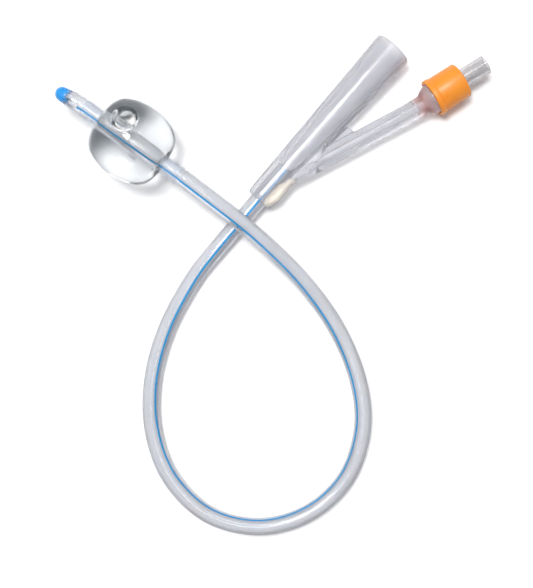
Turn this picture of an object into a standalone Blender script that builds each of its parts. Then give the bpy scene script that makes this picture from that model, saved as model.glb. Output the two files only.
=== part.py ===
"""Two-way balloon catheter, 16 French, lying in a loop as it comes to rest.

A dual-lumen silicone shaft runs from a Y-shaped hub, round a loop and over itself,
to a filled balloon and a blue tip. The hub's side arm holds a sprung check valve.
X runs along the drainage funnel, Z is up and the table is at Z = 0.
"""

import math

import bmesh
import bpy
import numpy as np
from mathutils import Matrix, Vector

MM = 0.001

# Fits
SEAT_GAP = 0.3 * MM
OVERRUN = 2.0 * MM

# Shaft: outer size in French, three to the millimetre
SHAFT_FRENCH = 16
SHAFT_RADIUS = SHAFT_FRENCH / 6 * MM
DRAIN_LUMEN_RADIUS = 1.4 * MM
DRAIN_LUMEN_OFFSET = 0.45 * MM
FILL_LUMEN_RADIUS = 0.3 * MM
FILL_LUMEN_OFFSET = 1.75 * MM
FILL_LUMEN_FROM_LINE = 80.0
SHAFT_STEP = 6.8 * MM
SHAFT_TAPER_LENGTH = 2.8 * MM
SHAFT_TAPER_FULLNESS = 0.75
SHAFT_RECESS_RADIUS = 2.4 * MM
SHAFT_RECESS_STEP = 0.8 * MM

# Openings cut in the shaft's wall
EYE_LENGTH = 4.5 * MM
EYE_WIDTH = 2.2 * MM
EYE_FROM_NOSE = 6.3 * MM
SECOND_EYE_FROM_NOSE = 7.4 * MM
FILL_PORT_LENGTH = 2.4 * MM
FILL_PORT_WIDTH = 0.7 * MM
FILL_PORT_FROM_HUB_END = 2.3 * MM

# Tip
TIP_LENGTH = 3.4 * MM
TIP_ROOT_RADIUS = 2.3 * MM
TIP_DOME_RADIUS = 2.2 * MM
TIP_SPIGOT_LENGTH = 1.6 * MM

# Balloon: a barrel with rounded shoulders and ends rolled in over the cuffs
BALLOON_RADIUS = 12.5 * MM
BALLOON_HALF_LENGTH = 11.7 * MM
BALLOON_SHOULDER_SHARE = 0.84
BALLOON_ROLL = 1.8 * MM
BALLOON_WALL = 0.4 * MM
BALLOON_FLAT = 0.15 * MM
CUFF_LENGTH = 8.0 * MM
CUFF_WALL = 0.5 * MM
CUFF_FEATHER = 0.2 * MM
TIP_CUFF_SWELL = 0.25 * MM
BUBBLE_RADIUS = 3.9 * MM
BUBBLE_TOWARDS_TIP = 4.2 * MM
BUBBLE_ASIDE = 3.7 * MM

# Hub: funnel
HUB_LENGTH = 63.0 * MM
HUB_MOUTH_RADIUS = 6.2 * MM
HUB_SHOULDER_RADIUS = 4.4 * MM
HUB_SHOULDER_START = 2.4 * MM
HUB_ENTRY_WALL = 0.65 * MM
HUB_RIM_ROUND = 0.6 * MM
SOCKET_DEPTH = 12.8 * MM
FUNNEL_THROAT_RADIUS = 2.4 * MM
FUNNEL_THROAT_START = 17.0 * MM
FUNNEL_WALL = 1.2 * MM

# Hub: inflation arm, base block and web, along and aside of the funnel's axis
ARM_ROOT = 4.4 * MM
ARM_ANGLE = 19.9
ARM_START = 8.0 * MM
ARM_ROOT_SINK = 0.7 * MM
ARM_SINK_END = 16.0 * MM
ARM_STRAIGHT = 47.15 * MM
ARM_BEND_LENGTH = 8.0 * MM
ARM_RADIUS = 3.05 * MM
ARM_LUMEN_RADIUS = 0.9 * MM
ARM_LUMEN_START = 6.8 * MM
ARM_OVERLAP = 1.0 * MM
BLOCK_HALF_HEIGHT = 3.6 * MM
BLOCK_ROUND = 0.8 * MM
BLOCK_OUTLINE = (
    (-0.3, 1.0),
    (-0.3, 2.75),
    (0.4, 3.55),
    (2.3, 4.5),
    (3.9, 4.95),
    (10.3, 4.6),
    (11.5, 4.95),
    (16.4, 7.0),
    (27.0, 4.7),
    (27.0, 1.0),
)
WEB_HALF_HEIGHT = 0.5 * MM
WEB_START = 22.0 * MM
WEB_END = 35.5 * MM

# Hub: cup for the valve, measured along the valve's axis
VALVE_ANGLE = 15.7
CUP_ROOT = -0.6 * MM
CUP_ROOT_RADIUS = 2.9 * MM
CUP_SHOULDER = 2.1 * MM
CUP_SHOULDER_RADIUS = 4.65 * MM
CUP_BODY_START = 3.4 * MM
CUP_LENGTH = 10.8 * MM
CUP_WALL = 0.7 * MM
CUP_FLOOR_START = 1.3 * MM
CUP_FLOOR_END = 3.6 * MM
CUP_LUMEN_RADIUS = 1.0 * MM
CUP_LUMEN_ROOT_RADIUS = 0.72 * MM

# Valve
VALVE_BODY_RADIUS = 3.95 * MM
VALVE_CHAMBER_RADIUS = 3.1 * MM
VALVE_BASE_START = 3.9 * MM
VALVE_BASE_THICK = 1.5 * MM
BASE_BORE_RADIUS = 0.7 * MM
BASE_BOSS_RADIUS = 1.05 * MM
BASE_BOSS_LENGTH = 1.0 * MM
BASE_NIPPLE_LENGTH = 1.5 * MM
BASE_NIPPLE_RADIUS = 1.5 * MM
BASE_NIPPLE_FLARE = 1.0 * MM
CHAMBER_LENGTH = 6.2 * MM
VALVE_SEAT_THICK = 1.2 * MM
VALVE_THROAT_RADIUS = 1.35 * MM
VALVE_FLANGE_THICK = 1.5 * MM
LUER_RADIUS = 3.05 * MM
LUER_BORE_RADIUS = 2.15 * MM
LUER_TAPER = 0.03
LUER_REACH = 8.8 * MM
LUER_RIM_ROUND = 0.15 * MM

# Plunger
STEM_RADIUS = 0.95 * MM
STEM_CORE_RADIUS = 0.45 * MM
STEM_FIN_THICK = 0.55 * MM
STEM_FIN_PROUD = 0.3 * MM
STEM_BELOW_RIM = 5.0 * MM
STEM_HEAD_RADIUS = 2.4 * MM
STEM_HEAD_THICK = 0.8 * MM
STEM_GUIDE_RADIUS = 0.85 * MM
STEM_GUIDE_LENGTH = 1.2 * MM
SEAL_RADIUS = 2.6 * MM
SEAL_THICK = 0.6 * MM

# Spring
SPRING_WIRE_RADIUS = 0.17 * MM
SPRING_MEAN_RADIUS = 1.7 * MM
SPRING_TURNS = 4.5
SPRING_STEPS_PER_TURN = 12

# Size-code sleeve
SLEEVE_START = 3.0 * MM
SLEEVE_LIP_RADIUS = 6.05 * MM
SLEEVE_LIP_LENGTH = 1.9 * MM
SLEEVE_LIP_ROUND = 0.35 * MM
SLEEVE_GROOVE = 0.3 * MM
SLEEVE_TOP_RADIUS = 5.7 * MM
SLEEVE_TOP_WALL = 1.0 * MM

# Round pieces
FINE_SEGMENTS = 32
SMALL_SEGMENTS = 24
SMOOTH_ANGLE = math.radians(35)

# Where the whole lies: the middle of hub, valve, balloon and tip is over the origin
LAYOUT = (-46.914 * MM, -41.428 * MM, 0.0)

# Places in the layout, in millimetres
HUB_ENTRY = (20.1, 21.42)
BALLOON_CENTRE = (7.3, 61.35)
BALLOON_SIDE_ANGLE = 96.3
NOSE = (3.55, 89.05)

# The shaft's route in millimetres, from the hub to the balloon, and the side that the
# blue line is on, in degrees from the top towards the loop's inside
ROUTE = (
    (10.5, 21.15, 4.00, 12),
    (1.0, 21.0, 3.60, 14),
    (-11.3, 20.25, 3.05, 19),
    (-29.7, 15.8, 2.70, 26),
    (-44.8, 8.0, 2.67, 32),
    (-56.0, -2.6, 2.67, 42),
    (-63.0, -16.2, 2.67, 50),
    (-63.6, -32.6, 2.67, 57),
    (-55.6, -47.2, 2.67, 57),
    (-42.0, -55.7, 2.67, 57),
    (-26.1, -57.0, 2.67, 55),
    (-11.2, -50.4, 2.67, 50),
    (-1.2, -39.6, 2.70, 44),
    (6.6, -23.6, 3.20, 36),
    (10.4, -6.6, 5.00, 32),
    (11.3, 7.7, 7.70, 30),
    (11.1, 20.2, 9.85, 30),
    (10.15, 32.5, 11.70, 30),
)
ROUTE_START_LINE = 10.0
ROUTE_END_LINE = 30.0


def material(name, colour, roughness, metallic=0.0, transmission=0.0):
    """A surface finish: linear RGB colour, roughness, metal or clear."""
    finish = bpy.data.materials.new(name)
    finish.use_nodes = True
    shader = finish.node_tree.nodes["Principled BSDF"]
    shader.inputs["Base Color"].default_value = (*colour, 1.0)
    shader.inputs["Roughness"].default_value = roughness
    shader.inputs["Metallic"].default_value = metallic
    shader.inputs["Transmission Weight"].default_value = transmission
    return finish


def clear_silicone():
    return material("clear_silicone", (0.80, 0.81, 0.86), 0.25, transmission=0.6)


def blue_silicone():
    return material("blue_silicone", (0.05, 0.38, 0.95), 0.3)


def balloon_silicone():
    return material("balloon_silicone", (0.86, 0.88, 0.92), 0.1, transmission=0.8)


def water():
    return material("water", (0.95, 0.97, 1.0), 0.0, transmission=1.0)


def hub_silicone():
    return material("hub_silicone", (0.82, 0.81, 0.83), 0.3, transmission=0.5)


def clear_plastic():
    return material("clear_plastic", (0.88, 0.87, 0.88), 0.08, transmission=0.8)


def white_plastic():
    return material("white_plastic", (0.82, 0.82, 0.80), 0.3)


def seal_rubber():
    return material("seal_rubber", (0.55, 0.53, 0.50), 0.6)


def spring_steel():
    return material("spring_steel", (0.62, 0.61, 0.60), 0.25, metallic=1.0)


def orange_silicone():
    return material("orange_silicone", (1.0, 0.33, 0.03), 0.4)


def clear_scene():
    for old in list(bpy.data.objects):
        bpy.data.objects.remove(old)


def empty(name, parent, location, rotation=(0.0, 0.0, 0.0)):
    """A frame that pieces hang on."""
    frame = bpy.data.objects.new(name, None)
    bpy.context.scene.collection.objects.link(frame)
    frame.empty_display_size = 5 * MM
    frame.parent = parent
    frame.location = location
    frame.rotation_euler = rotation
    return frame


def place(name, mesh, parent, finish=None, location=(0.0, 0.0, 0.0), matrix=None):
    """An object for a mesh, shaded smooth, on its parent frame."""
    mesh.name = name
    mesh.materials.clear()
    if finish:
        mesh.materials.append(finish)
    mesh.shade_smooth()
    mesh.set_sharp_from_angle(angle=SMOOTH_ANGLE)
    piece = bpy.data.objects.new(name, mesh)
    bpy.context.scene.collection.objects.link(piece)
    piece.parent = parent
    piece.location = location
    if matrix is not None:
        piece.matrix_local = matrix
    return piece


def helper(piece):
    """Marks a shape that only cuts or joins another."""
    piece.hide_render = True
    piece.display_type = "WIRE"
    return piece


def combine(piece, other, operation, solver="EXACT"):
    """Joins a helper to a piece, or cuts it away."""
    step = piece.modifiers.new(other.name, "BOOLEAN")
    step.operation = operation
    step.solver = solver
    step.object = helper(other)


def finished_mesh(name, bm):
    """A mesh from a bmesh, with doubles and stray edges gone and faces pointing out."""
    bmesh.ops.remove_doubles(bm, verts=bm.verts, dist=0.001 * MM)
    stray = [edge for edge in bm.edges if not edge.link_faces]
    bmesh.ops.delete(bm, geom=stray, context="EDGES")
    bmesh.ops.recalc_face_normals(bm, faces=bm.faces)
    mesh = bpy.data.meshes.new(name)
    bm.to_mesh(mesh)
    bm.free()
    return mesh


def turned(name, profile, segments=FINE_SEGMENTS):
    """A mesh turned round the X axis from a closed outline of (along, radius) points."""
    bm = bmesh.new()
    ring = [bm.verts.new((along, 0.0, -radius)) for along, radius in profile]
    edges = [
        bm.edges.new((ring[i], ring[(i + 1) % len(ring)])) for i in range(len(ring))
    ]
    bmesh.ops.spin(
        bm,
        geom=ring + edges,
        cent=(0.0, 0.0, 0.0),
        axis=(1.0, 0.0, 0.0),
        angle=math.tau,
        steps=segments,
        use_duplicate=False,
    )
    return finished_mesh(name, bm)


def rounded(corner, before, after, radius, steps=3):
    """Points of an arc that replaces a square corner of a profile."""
    corner, before, after = Vector(corner), Vector(before), Vector(after)
    start = corner + (before - corner).normalized() * radius
    end = corner + (after - corner).normalized() * radius
    centre = start + end - corner
    points = []
    for i in range(steps + 1):
        turn = i / steps * math.pi / 2
        points.append(
            tuple(centre + (start - centre) * math.cos(turn) + (end - centre) * math.sin(turn))
        )
    return points


def prism(name, outline, half_height, edge_round):
    """A flat plate in the hub's plane, from (along, aside) points, with rounded edges."""
    bm = bmesh.new()
    bottom = [bm.verts.new((along, -aside, -half_height)) for along, aside in outline]
    floor = bm.faces.new(bottom)
    lifted = bmesh.ops.extrude_face_region(bm, geom=[floor])
    raised = [v for v in lifted["geom"] if isinstance(v, bmesh.types.BMVert)]
    bmesh.ops.translate(bm, verts=raised, vec=(0.0, 0.0, 2 * half_height))
    if edge_round:
        edges = [e for e in bm.edges if abs(e.verts[0].co.z - e.verts[1].co.z) < MM / 10]
        bmesh.ops.bevel(
            bm, geom=edges, offset=edge_round, segments=2, profile=0.5, affect="EDGES"
        )
    return finished_mesh(name, bm)


def catmull_rom(before, start, end, after, share):
    """A point between start and end on the centripetal curve through four points."""
    knots = [0.0]
    for a, b in ((before, start), (start, end), (end, after)):
        knots.append(knots[-1] + math.sqrt(np.linalg.norm(b[:3] - a[:3])))
    at = knots[1] + share * (knots[2] - knots[1])

    def blend(a, b, low, high):
        return ((high - at) * a + (at - low) * b) / (high - low)

    first = blend(before, start, knots[0], knots[1])
    second = blend(start, end, knots[1], knots[2])
    third = blend(end, after, knots[2], knots[3])
    left = blend(first, second, knots[0], knots[2])
    right = blend(second, third, knots[1], knots[3])
    return blend(left, right, knots[1], knots[2])


def smooth_curve(points, steps=24):
    """Close points on the smooth curve through a route's points."""
    points = [np.array(p, float) for p in points]
    ends = [2 * points[0] - points[1], *points, 2 * points[-1] - points[-2]]
    curve = [
        catmull_rom(*ends[i : i + 4], step / steps)
        for i in range(len(points) - 1)
        for step in range(steps)
    ]
    return np.array([*curve, points[-1]])


def lengths_along(curve):
    steps = np.linalg.norm(np.diff(curve[:, :3], axis=0), axis=1)
    return np.concatenate([[0.0], np.cumsum(steps)])


def point_at(curve, distance):
    """Centre and line angle at a distance along the curve."""
    along = lengths_along(curve)
    return np.array([np.interp(distance, along, curve[:, i]) for i in range(curve.shape[1])])


def frame_at(curve, distance):
    """Centre, forward, side and up at a distance: side is towards the loop's inside."""
    reach = 0.5 * MM
    total = lengths_along(curve)[-1]
    low = min(max(distance, reach), total - reach)
    centre = point_at(curve, distance)
    ahead = Vector(point_at(curve, low + reach)[:3] - point_at(curve, low - reach)[:3])
    forward = ahead.normalized()
    side = Vector((0, 0, 1)).cross(forward).normalized()
    return Vector(centre[:3]), forward, side, forward.cross(side), centre[3]


def off_centre(curve, distance, offset, turn):
    """A point beside the centre line, turned round it from the blue line."""
    centre, _, side, up, line = frame_at(curve, distance)
    angle = math.radians(line + turn)
    return centre + offset * (math.cos(angle) * up + math.sin(angle) * side)


def tube(name, points, radius, resolution, scales=None):
    """A mesh tube with closed ends, swept along points."""
    curve = bpy.data.curves.new(name, "CURVE")
    curve.dimensions = "3D"
    curve.bevel_depth = radius
    curve.bevel_resolution = resolution
    curve.use_fill_caps = True
    spline = curve.splines.new("POLY")
    spline.points.add(len(points) - 1)
    for i, point in enumerate(points):
        spline.points[i].co = (*point, 1.0)
        spline.points[i].radius = scales[i] if scales else 1.0
    guide = bpy.data.objects.new(name + "_guide", curve)
    swept = bpy.data.meshes.new_from_object(guide)
    bpy.data.objects.remove(guide)
    bm = bmesh.new()
    bm.from_mesh(swept)
    bpy.data.meshes.remove(swept)
    return finished_mesh(name, bm)


def hub_tilt():
    """The hub lies on its wide mouth and its narrow shoulder, so its axis climbs."""
    return math.atan2(
        HUB_MOUTH_RADIUS - HUB_SHOULDER_RADIUS,
        HUB_LENGTH - HUB_RIM_ROUND - HUB_SHOULDER_START,
    )


def hub_height():
    """Height of the funnel's axis where the shaft enters."""
    tilt = hub_tilt()
    return HUB_SHOULDER_RADIUS * math.cos(tilt) - HUB_SHOULDER_START * math.sin(tilt)


def hub_point(along):
    """A point of the funnel's axis, in the layout frame."""
    tilt = hub_tilt()
    return (
        HUB_ENTRY[0] * MM + along * math.cos(tilt),
        HUB_ENTRY[1] * MM,
        hub_height() + along * math.sin(tilt),
    )


def balloon_direction():
    angle = math.radians(BALLOON_SIDE_ANGLE)
    return Vector((math.cos(angle), math.sin(angle), 0.0))


def balloon_centre():
    """The balloon lies on its flattened side, so its radius sets the height."""
    x, y = BALLOON_CENTRE
    return Vector((x * MM, y * MM, BALLOON_RADIUS - BALLOON_FLAT))


def cuff_end():
    """Where a cuff ends, from the balloon's middle."""
    return BALLOON_HALF_LENGTH - BALLOON_ROLL + CUFF_LENGTH


def shaft_curve():
    """The shaft's centre line, from its end in the hub's socket to the nose."""
    socket = [
        (*hub_point(along), ROUTE_START_LINE) for along in (SOCKET_DEPTH, SOCKET_DEPTH / 2, 0.0)
    ]
    free = [(x * MM, y * MM, z * MM, line) for x, y, z, line in ROUTE]
    straight = [
        (*(balloon_centre() + balloon_direction() * cuff_end() * share), ROUTE_END_LINE)
        for share in (-1.0, -0.5, 0.0, 0.5, 1.0)
    ]
    nose = (NOSE[0] * MM, NOSE[1] * MM, balloon_centre().z, ROUTE_END_LINE)
    return smooth_curve([*socket, *free, *straight, nose])


def balloon_from_nose():
    """Length of shaft between the balloon's middle and the nose."""
    cuff = balloon_centre() + balloon_direction() * cuff_end()
    nose = Vector((NOSE[0] * MM, NOSE[1] * MM, balloon_centre().z))
    return cuff_end() + (nose - cuff).length


def shaft_end(curve):
    """Where the shaft stops and the tip begins."""
    return lengths_along(curve)[-1] - TIP_LENGTH


def lumen(name, curve, offset, turn, radius, resolution):
    """A long cutter through the shaft, beside its centre line."""
    end = shaft_end(curve)
    count = round(end / SHAFT_STEP)
    points = [
        off_centre(curve, i / count * end, offset, turn) for i in range(count + 1)
    ]
    points.insert(0, points[0] + (points[0] - points[1]).normalized() * OVERRUN)
    points.append(points[-1] + (points[-1] - points[-2]).normalized() * OVERRUN)
    return tube(name, points, radius, resolution)


def wall_slot(name, layout, curve, distance, turn, size, depths):
    """A long cutter through one side of the shaft's wall."""
    length, width = size
    inner, outer = depths
    centre, forward, side, up, line = frame_at(curve, distance)
    angle = math.radians(line + turn)
    outward = math.cos(angle) * up + math.sin(angle) * side
    across = outward.cross(forward)
    bm = bmesh.new()
    bmesh.ops.create_cone(
        bm,
        cap_ends=True,
        segments=16,
        radius1=width / 2,
        radius2=width / 2,
        depth=outer - inner,
        matrix=Matrix.Translation((0.0, 0.0, (outer + inner) / 2)),
    )
    bmesh.ops.scale(bm, vec=(length / width, 1.0, 1.0), verts=bm.verts)
    axes = Matrix((forward, across, outward)).transposed().to_4x4()
    return helper(
        place(name, finished_mesh(name, bm), layout, matrix=Matrix.Translation(centre) @ axes)
    )


def shaft_stations(curve):
    """Distances along the shaft with its radius: narrower under the cuffs and at the tip."""
    nose = lengths_along(curve)[-1]
    end = shaft_end(curve) - SEAT_GAP
    near = nose - balloon_from_nose() + cuff_end() + SEAT_GAP
    far = nose - balloon_from_nose() - cuff_end() - SEAT_GAP
    full = far - SHAFT_RECESS_STEP
    count = round(full / SHAFT_STEP)
    stations = [(i / count * full, SHAFT_RADIUS) for i in range(count + 1)]
    middle_radius = TIP_ROOT_RADIUS + (SHAFT_RADIUS - TIP_ROOT_RADIUS) * SHAFT_TAPER_FULLNESS
    return [
        *stations,
        (far, SHAFT_RECESS_RADIUS),
        (near, SHAFT_RECESS_RADIUS),
        (near + SHAFT_RECESS_STEP, SHAFT_RADIUS),
        (end - SHAFT_TAPER_LENGTH, SHAFT_RADIUS),
        (end - SHAFT_TAPER_LENGTH / 2, middle_radius),
        (end, TIP_ROOT_RADIUS),
    ]


def build_shaft(layout, curve):
    """The extruded tube with its two lumens, drainage eyes and inflation openings."""
    stations = shaft_stations(curve)
    centres = [point_at(curve, distance)[:3] for distance, _ in stations]
    scales = [radius / SHAFT_RADIUS for _, radius in stations]
    shaft = place(
        "shaft", tube("shaft", centres, SHAFT_RADIUS, 4, scales), layout, clear_silicone()
    )

    drain = lumen(
        "drain_lumen", curve, -DRAIN_LUMEN_OFFSET, FILL_LUMEN_FROM_LINE, DRAIN_LUMEN_RADIUS, 2
    )
    fill = lumen(
        "fill_lumen", curve, FILL_LUMEN_OFFSET, FILL_LUMEN_FROM_LINE, FILL_LUMEN_RADIUS, 1
    )
    combine(shaft, place("drain_lumen", drain, layout), "DIFFERENCE")
    combine(shaft, place("fill_lumen", fill, layout), "DIFFERENCE")

    nose = lengths_along(curve)[-1]
    eye = (EYE_LENGTH, EYE_WIDTH)
    through_wall = (0.0, 2 * SHAFT_RADIUS)
    port = (FILL_PORT_LENGTH, FILL_PORT_WIDTH)
    to_fill = (FILL_LUMEN_OFFSET, 2 * SHAFT_RADIUS)
    slots = (
        ("eye", nose - EYE_FROM_NOSE, 0.0, eye, through_wall),
        ("second_eye", nose - SECOND_EYE_FROM_NOSE, 180.0, eye, through_wall),
        ("balloon_port", nose - balloon_from_nose(), FILL_LUMEN_FROM_LINE, port, to_fill),
        ("arm_port", FILL_PORT_FROM_HUB_END, FILL_LUMEN_FROM_LINE, port, to_fill),
    )
    # The eyes, and the slots that open the filling lumen to the balloon and the arm
    for name, distance, turn, size, depths in slots:
        slot = wall_slot(name, layout, curve, distance, turn, size, depths)
        combine(shaft, slot, "DIFFERENCE", "MANIFOLD")


def build_tip(layout, curve):
    """The bullet-shaped nose with a spigot that plugs the drainage lumen."""
    radius = TIP_DOME_RADIUS
    barrel = TIP_LENGTH - radius
    steps = 8
    dome = []
    for i in range(steps):
        turn = i / steps * math.pi / 2
        dome.append((barrel + radius * math.sin(turn), radius * math.cos(turn)))
    profile = [(0.0, 0.0), (0.0, TIP_ROOT_RADIUS), *dome, (TIP_LENGTH, 0.0)]
    centre, forward, side, up, _ = frame_at(curve, shaft_end(curve))
    axes = Matrix((forward, side, up)).transposed().to_4x4()
    tip = place(
        "tip",
        turned("tip", profile, SMALL_SEGMENTS),
        layout,
        blue_silicone(),
        matrix=Matrix.Translation(centre) @ axes,
    )
    spigot_radius = DRAIN_LUMEN_RADIUS - SEAT_GAP
    reach = (-TIP_SPIGOT_LENGTH, barrel)
    plug = [(reach[0], 0.0), (reach[0], spigot_radius), (reach[1], spigot_radius), (reach[1], 0.0)]
    start = off_centre(curve, shaft_end(curve), -DRAIN_LUMEN_OFFSET, FILL_LUMEN_FROM_LINE)
    spigot = place(
        "tip_spigot",
        turned("tip_spigot", plug, 16),
        layout,
        matrix=Matrix.Translation(start) @ axes,
    )
    combine(tip, spigot, "UNION")


def neck_radius():
    return SHAFT_RECESS_RADIUS + SEAT_GAP + CUFF_WALL


def balloon_rise():
    """Height of the balloon's crown over the middle of its rolled-in end."""
    return BALLOON_RADIUS - (neck_radius() + BALLOON_ROLL)


def arc(centre, radius, start, end, steps):
    """Points of an arc in an outline, without its last one."""
    points = []
    for i in range(steps):
        turn = start + (end - start) * i / steps
        points.append((centre[0] + radius * math.cos(turn), centre[1] + radius * math.sin(turn)))
    return points


def balloon_outline(inset, steps):
    """Half of the balloon's outline, moved inwards: crown, shoulder and the rolled-in end."""
    rise = balloon_rise()
    shoulder = rise * BALLOON_SHOULDER_SHARE
    shoulder_at = BALLOON_HALF_LENGTH - shoulder
    roll_at = BALLOON_HALF_LENGTH - BALLOON_ROLL
    height = neck_radius() + BALLOON_ROLL
    crown = (shoulder_at**2 + rise**2 - shoulder**2) / (2 * (rise - shoulder))
    crown_centre = BALLOON_RADIUS - crown
    meet = math.atan2(height - crown_centre, shoulder_at)
    quarter = math.pi / 2
    crown_steps, shoulder_steps, roll_steps = steps
    return [
        *arc((0.0, crown_centre), crown - inset, quarter, meet, crown_steps),
        *arc((shoulder_at, height), shoulder - inset, meet, 0.0, shoulder_steps),
        *arc((roll_at, height), BALLOON_ROLL - inset, 0.0, -quarter, roll_steps),
        (roll_at, height - (BALLOON_ROLL - inset)),
    ]


def mirrored(half):
    """An outline's other half, up to the crown."""
    return [(-along, radius) for along, radius in reversed(half[1:])]


def flatten(mesh, floor):
    """Flattens a shape where it lies on the table."""
    for vertex in mesh.vertices:
        vertex.co.z = max(vertex.co.z, floor)
    return mesh


def build_balloon(bearing):
    """The thin sleeve with cuffs, and the water and bubble in it."""
    bore = SHAFT_RECESS_RADIUS + SEAT_GAP
    neck = neck_radius()
    end = cuff_end()
    foot = BALLOON_HALF_LENGTH - BALLOON_ROLL - 2 * BALLOON_WALL
    edge = [(end, bore + CUFF_FEATHER)]
    swelling = (BALLOON_HALF_LENGTH + BALLOON_WALL, neck + TIP_CUFF_SWELL)
    outer = balloon_outline(0.0, (3, 7, 4))
    outside = [*mirrored([*outer, *edge]), *outer, swelling, *edge]
    inner = [
        *balloon_outline(BALLOON_WALL, (2, 5, 3)),
        (foot, neck + BALLOON_WALL),
        (foot, bore),
    ]
    inside = [*mirrored(inner), *inner]
    profile = [*outside, (end, bore), *reversed(inside), (-end, bore)]
    floor = -(BALLOON_RADIUS - BALLOON_FLAT)
    place("balloon", flatten(turned("balloon", profile), floor), bearing, balloon_silicone())

    clear = BALLOON_WALL + SEAT_GAP
    fill_end = foot - SEAT_GAP
    swell = [*balloon_outline(clear, (2, 5, 3)), (fill_end, neck + clear), (fill_end, bore)]
    fill = place(
        "water_fill",
        flatten(turned("water_fill", [*mirrored(swell), *swell]), floor + clear),
        bearing,
        water(),
    )
    bubble = bmesh.new()
    bmesh.ops.create_uvsphere(bubble, u_segments=22, v_segments=12, radius=BUBBLE_RADIUS)
    drop = BUBBLE_ASIDE**2 / (2 * BALLOON_RADIUS) + BUBBLE_TOWARDS_TIP**2 / (4 * BALLOON_RADIUS)
    top = BALLOON_RADIUS - clear - drop
    at = (BUBBLE_TOWARDS_TIP, -BUBBLE_ASIDE, top - BUBBLE_RADIUS + SEAT_GAP)
    combine(
        fill,
        place("bubble", finished_mesh("bubble", bubble), bearing, location=at),
        "DIFFERENCE",
    )


def hub_barrel():
    """The funnel's outside: a rounded shoulder, then a straight taper to the mouth."""
    start = SHAFT_RADIUS + SEAT_GAP + HUB_ENTRY_WALL
    length = HUB_SHOULDER_START
    rise = HUB_SHOULDER_RADIUS - start
    steps = 4
    shoulder = []
    for i in range(steps + 1):
        turn = i / steps * math.pi / 2
        shoulder.append((length * (1 - math.cos(turn)), start + rise * math.sin(turn)))
    rim = rounded(
        (HUB_LENGTH, HUB_MOUTH_RADIUS), (0.0, HUB_MOUTH_RADIUS), (HUB_LENGTH, 0.0), HUB_RIM_ROUND
    )
    return turned("hub", [(0.0, 0.0), *shoulder, *rim, (HUB_LENGTH, 0.0)])


def hub_bore():
    """The space inside the funnel: socket for the shaft, then the drainage cone."""
    socket = SHAFT_RADIUS + SEAT_GAP
    floor = SOCKET_DEPTH + SEAT_GAP
    mouth = HUB_MOUTH_RADIUS - FUNNEL_WALL
    slope = (mouth - FUNNEL_THROAT_RADIUS) / (HUB_LENGTH - FUNNEL_THROAT_START)
    profile = [
        (-OVERRUN, 0.0),
        (-OVERRUN, socket),
        (floor, socket),
        (floor, DRAIN_LUMEN_RADIUS),
        (FUNNEL_THROAT_START, FUNNEL_THROAT_RADIUS),
        (HUB_LENGTH + OVERRUN, mouth + slope * OVERRUN),
        (HUB_LENGTH + OVERRUN, 0.0),
    ]
    return turned("hub_bore", profile)


def arm_points(first):
    """The arm's centre line in the hub's plane, as (along, aside), bent a little at its end."""
    start = Vector((ARM_ROOT, 0.0))
    straight = math.radians(ARM_ANGLE)
    ahead = Vector((math.cos(straight), math.sin(straight)))
    points = [start + ahead * first, start + ahead * ARM_SINK_END, start + ahead * ARM_STRAIGHT]
    steps = 5
    for i in range(steps):
        turned_by = (i + 0.5) / steps * (ARM_ANGLE - VALVE_ANGLE)
        heading = math.radians(ARM_ANGLE - turned_by)
        step = ARM_BEND_LENGTH / steps
        points.append(points[-1] + step * Vector((math.cos(heading), math.sin(heading))))
    return points


def valve_start():
    """Where the arm ends and the valve's axis begins, as (along, aside)."""
    return arm_points(0.0)[-1]


def arm_tube(name, first, sink, radius, overrun, resolution):
    """A round bar along the arm, its root moved towards the funnel's axis."""
    points = arm_points(first)
    points[0] = points[0] - Vector((0.0, sink))
    heading = math.radians(VALVE_ANGLE)
    points.append(points[-1] + overrun * Vector((math.cos(heading), math.sin(heading))))
    return tube(name, [(along, -aside, 0.0) for along, aside in points], radius, resolution)


def cup_bore_radius():
    return VALVE_BODY_RADIUS + SEAT_GAP


def cup_radius():
    return cup_bore_radius() + CUP_WALL


def cup_outside():
    """The bulb and the cup, round the valve's axis."""
    body = cup_radius()
    rim = rounded((CUP_LENGTH, body), (0.0, body), (CUP_LENGTH, 0.0), CUP_WALL / 3)
    profile = [
        (CUP_ROOT, 0.0),
        (CUP_ROOT, CUP_ROOT_RADIUS),
        (CUP_SHOULDER, CUP_SHOULDER_RADIUS),
        (CUP_BODY_START, body),
        *rim,
        (CUP_LENGTH, 0.0),
    ]
    return turned("hub_cup", profile)


def cup_bore():
    """The space for the valve, with a conical floor that opens into the arm's lumen."""
    bore = cup_bore_radius()
    profile = [
        (CUP_FLOOR_START - ARM_LUMEN_RADIUS, 0.0),
        (CUP_FLOOR_START - ARM_LUMEN_RADIUS, CUP_LUMEN_ROOT_RADIUS),
        (CUP_FLOOR_START, CUP_LUMEN_RADIUS),
        (CUP_FLOOR_END, bore),
        (CUP_LENGTH + OVERRUN, bore),
        (CUP_LENGTH + OVERRUN, 0.0),
    ]
    return turned("cup_bore", profile)


def hub_block():
    """The flat block between funnel and arm, with a lobe beside the shaft."""
    outline = [(along * MM, aside * MM) for along, aside in BLOCK_OUTLINE]
    return prism("hub_block", outline, BLOCK_HALF_HEIGHT, BLOCK_ROUND)


def hub_web():
    """The thin web in the fork, from within the funnel's wall to the arm's axis."""
    slope = math.tan(math.radians(ARM_ANGLE))
    outline = [
        (WEB_START, HUB_SHOULDER_RADIUS / 2),
        (WEB_END, HUB_SHOULDER_RADIUS),
        (WEB_END, (WEB_END - ARM_ROOT) * slope),
        (WEB_START, (WEB_START - ARM_ROOT) * slope),
    ]
    return prism("hub_web", outline, WEB_HALF_HEIGHT, 0.0)


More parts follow.
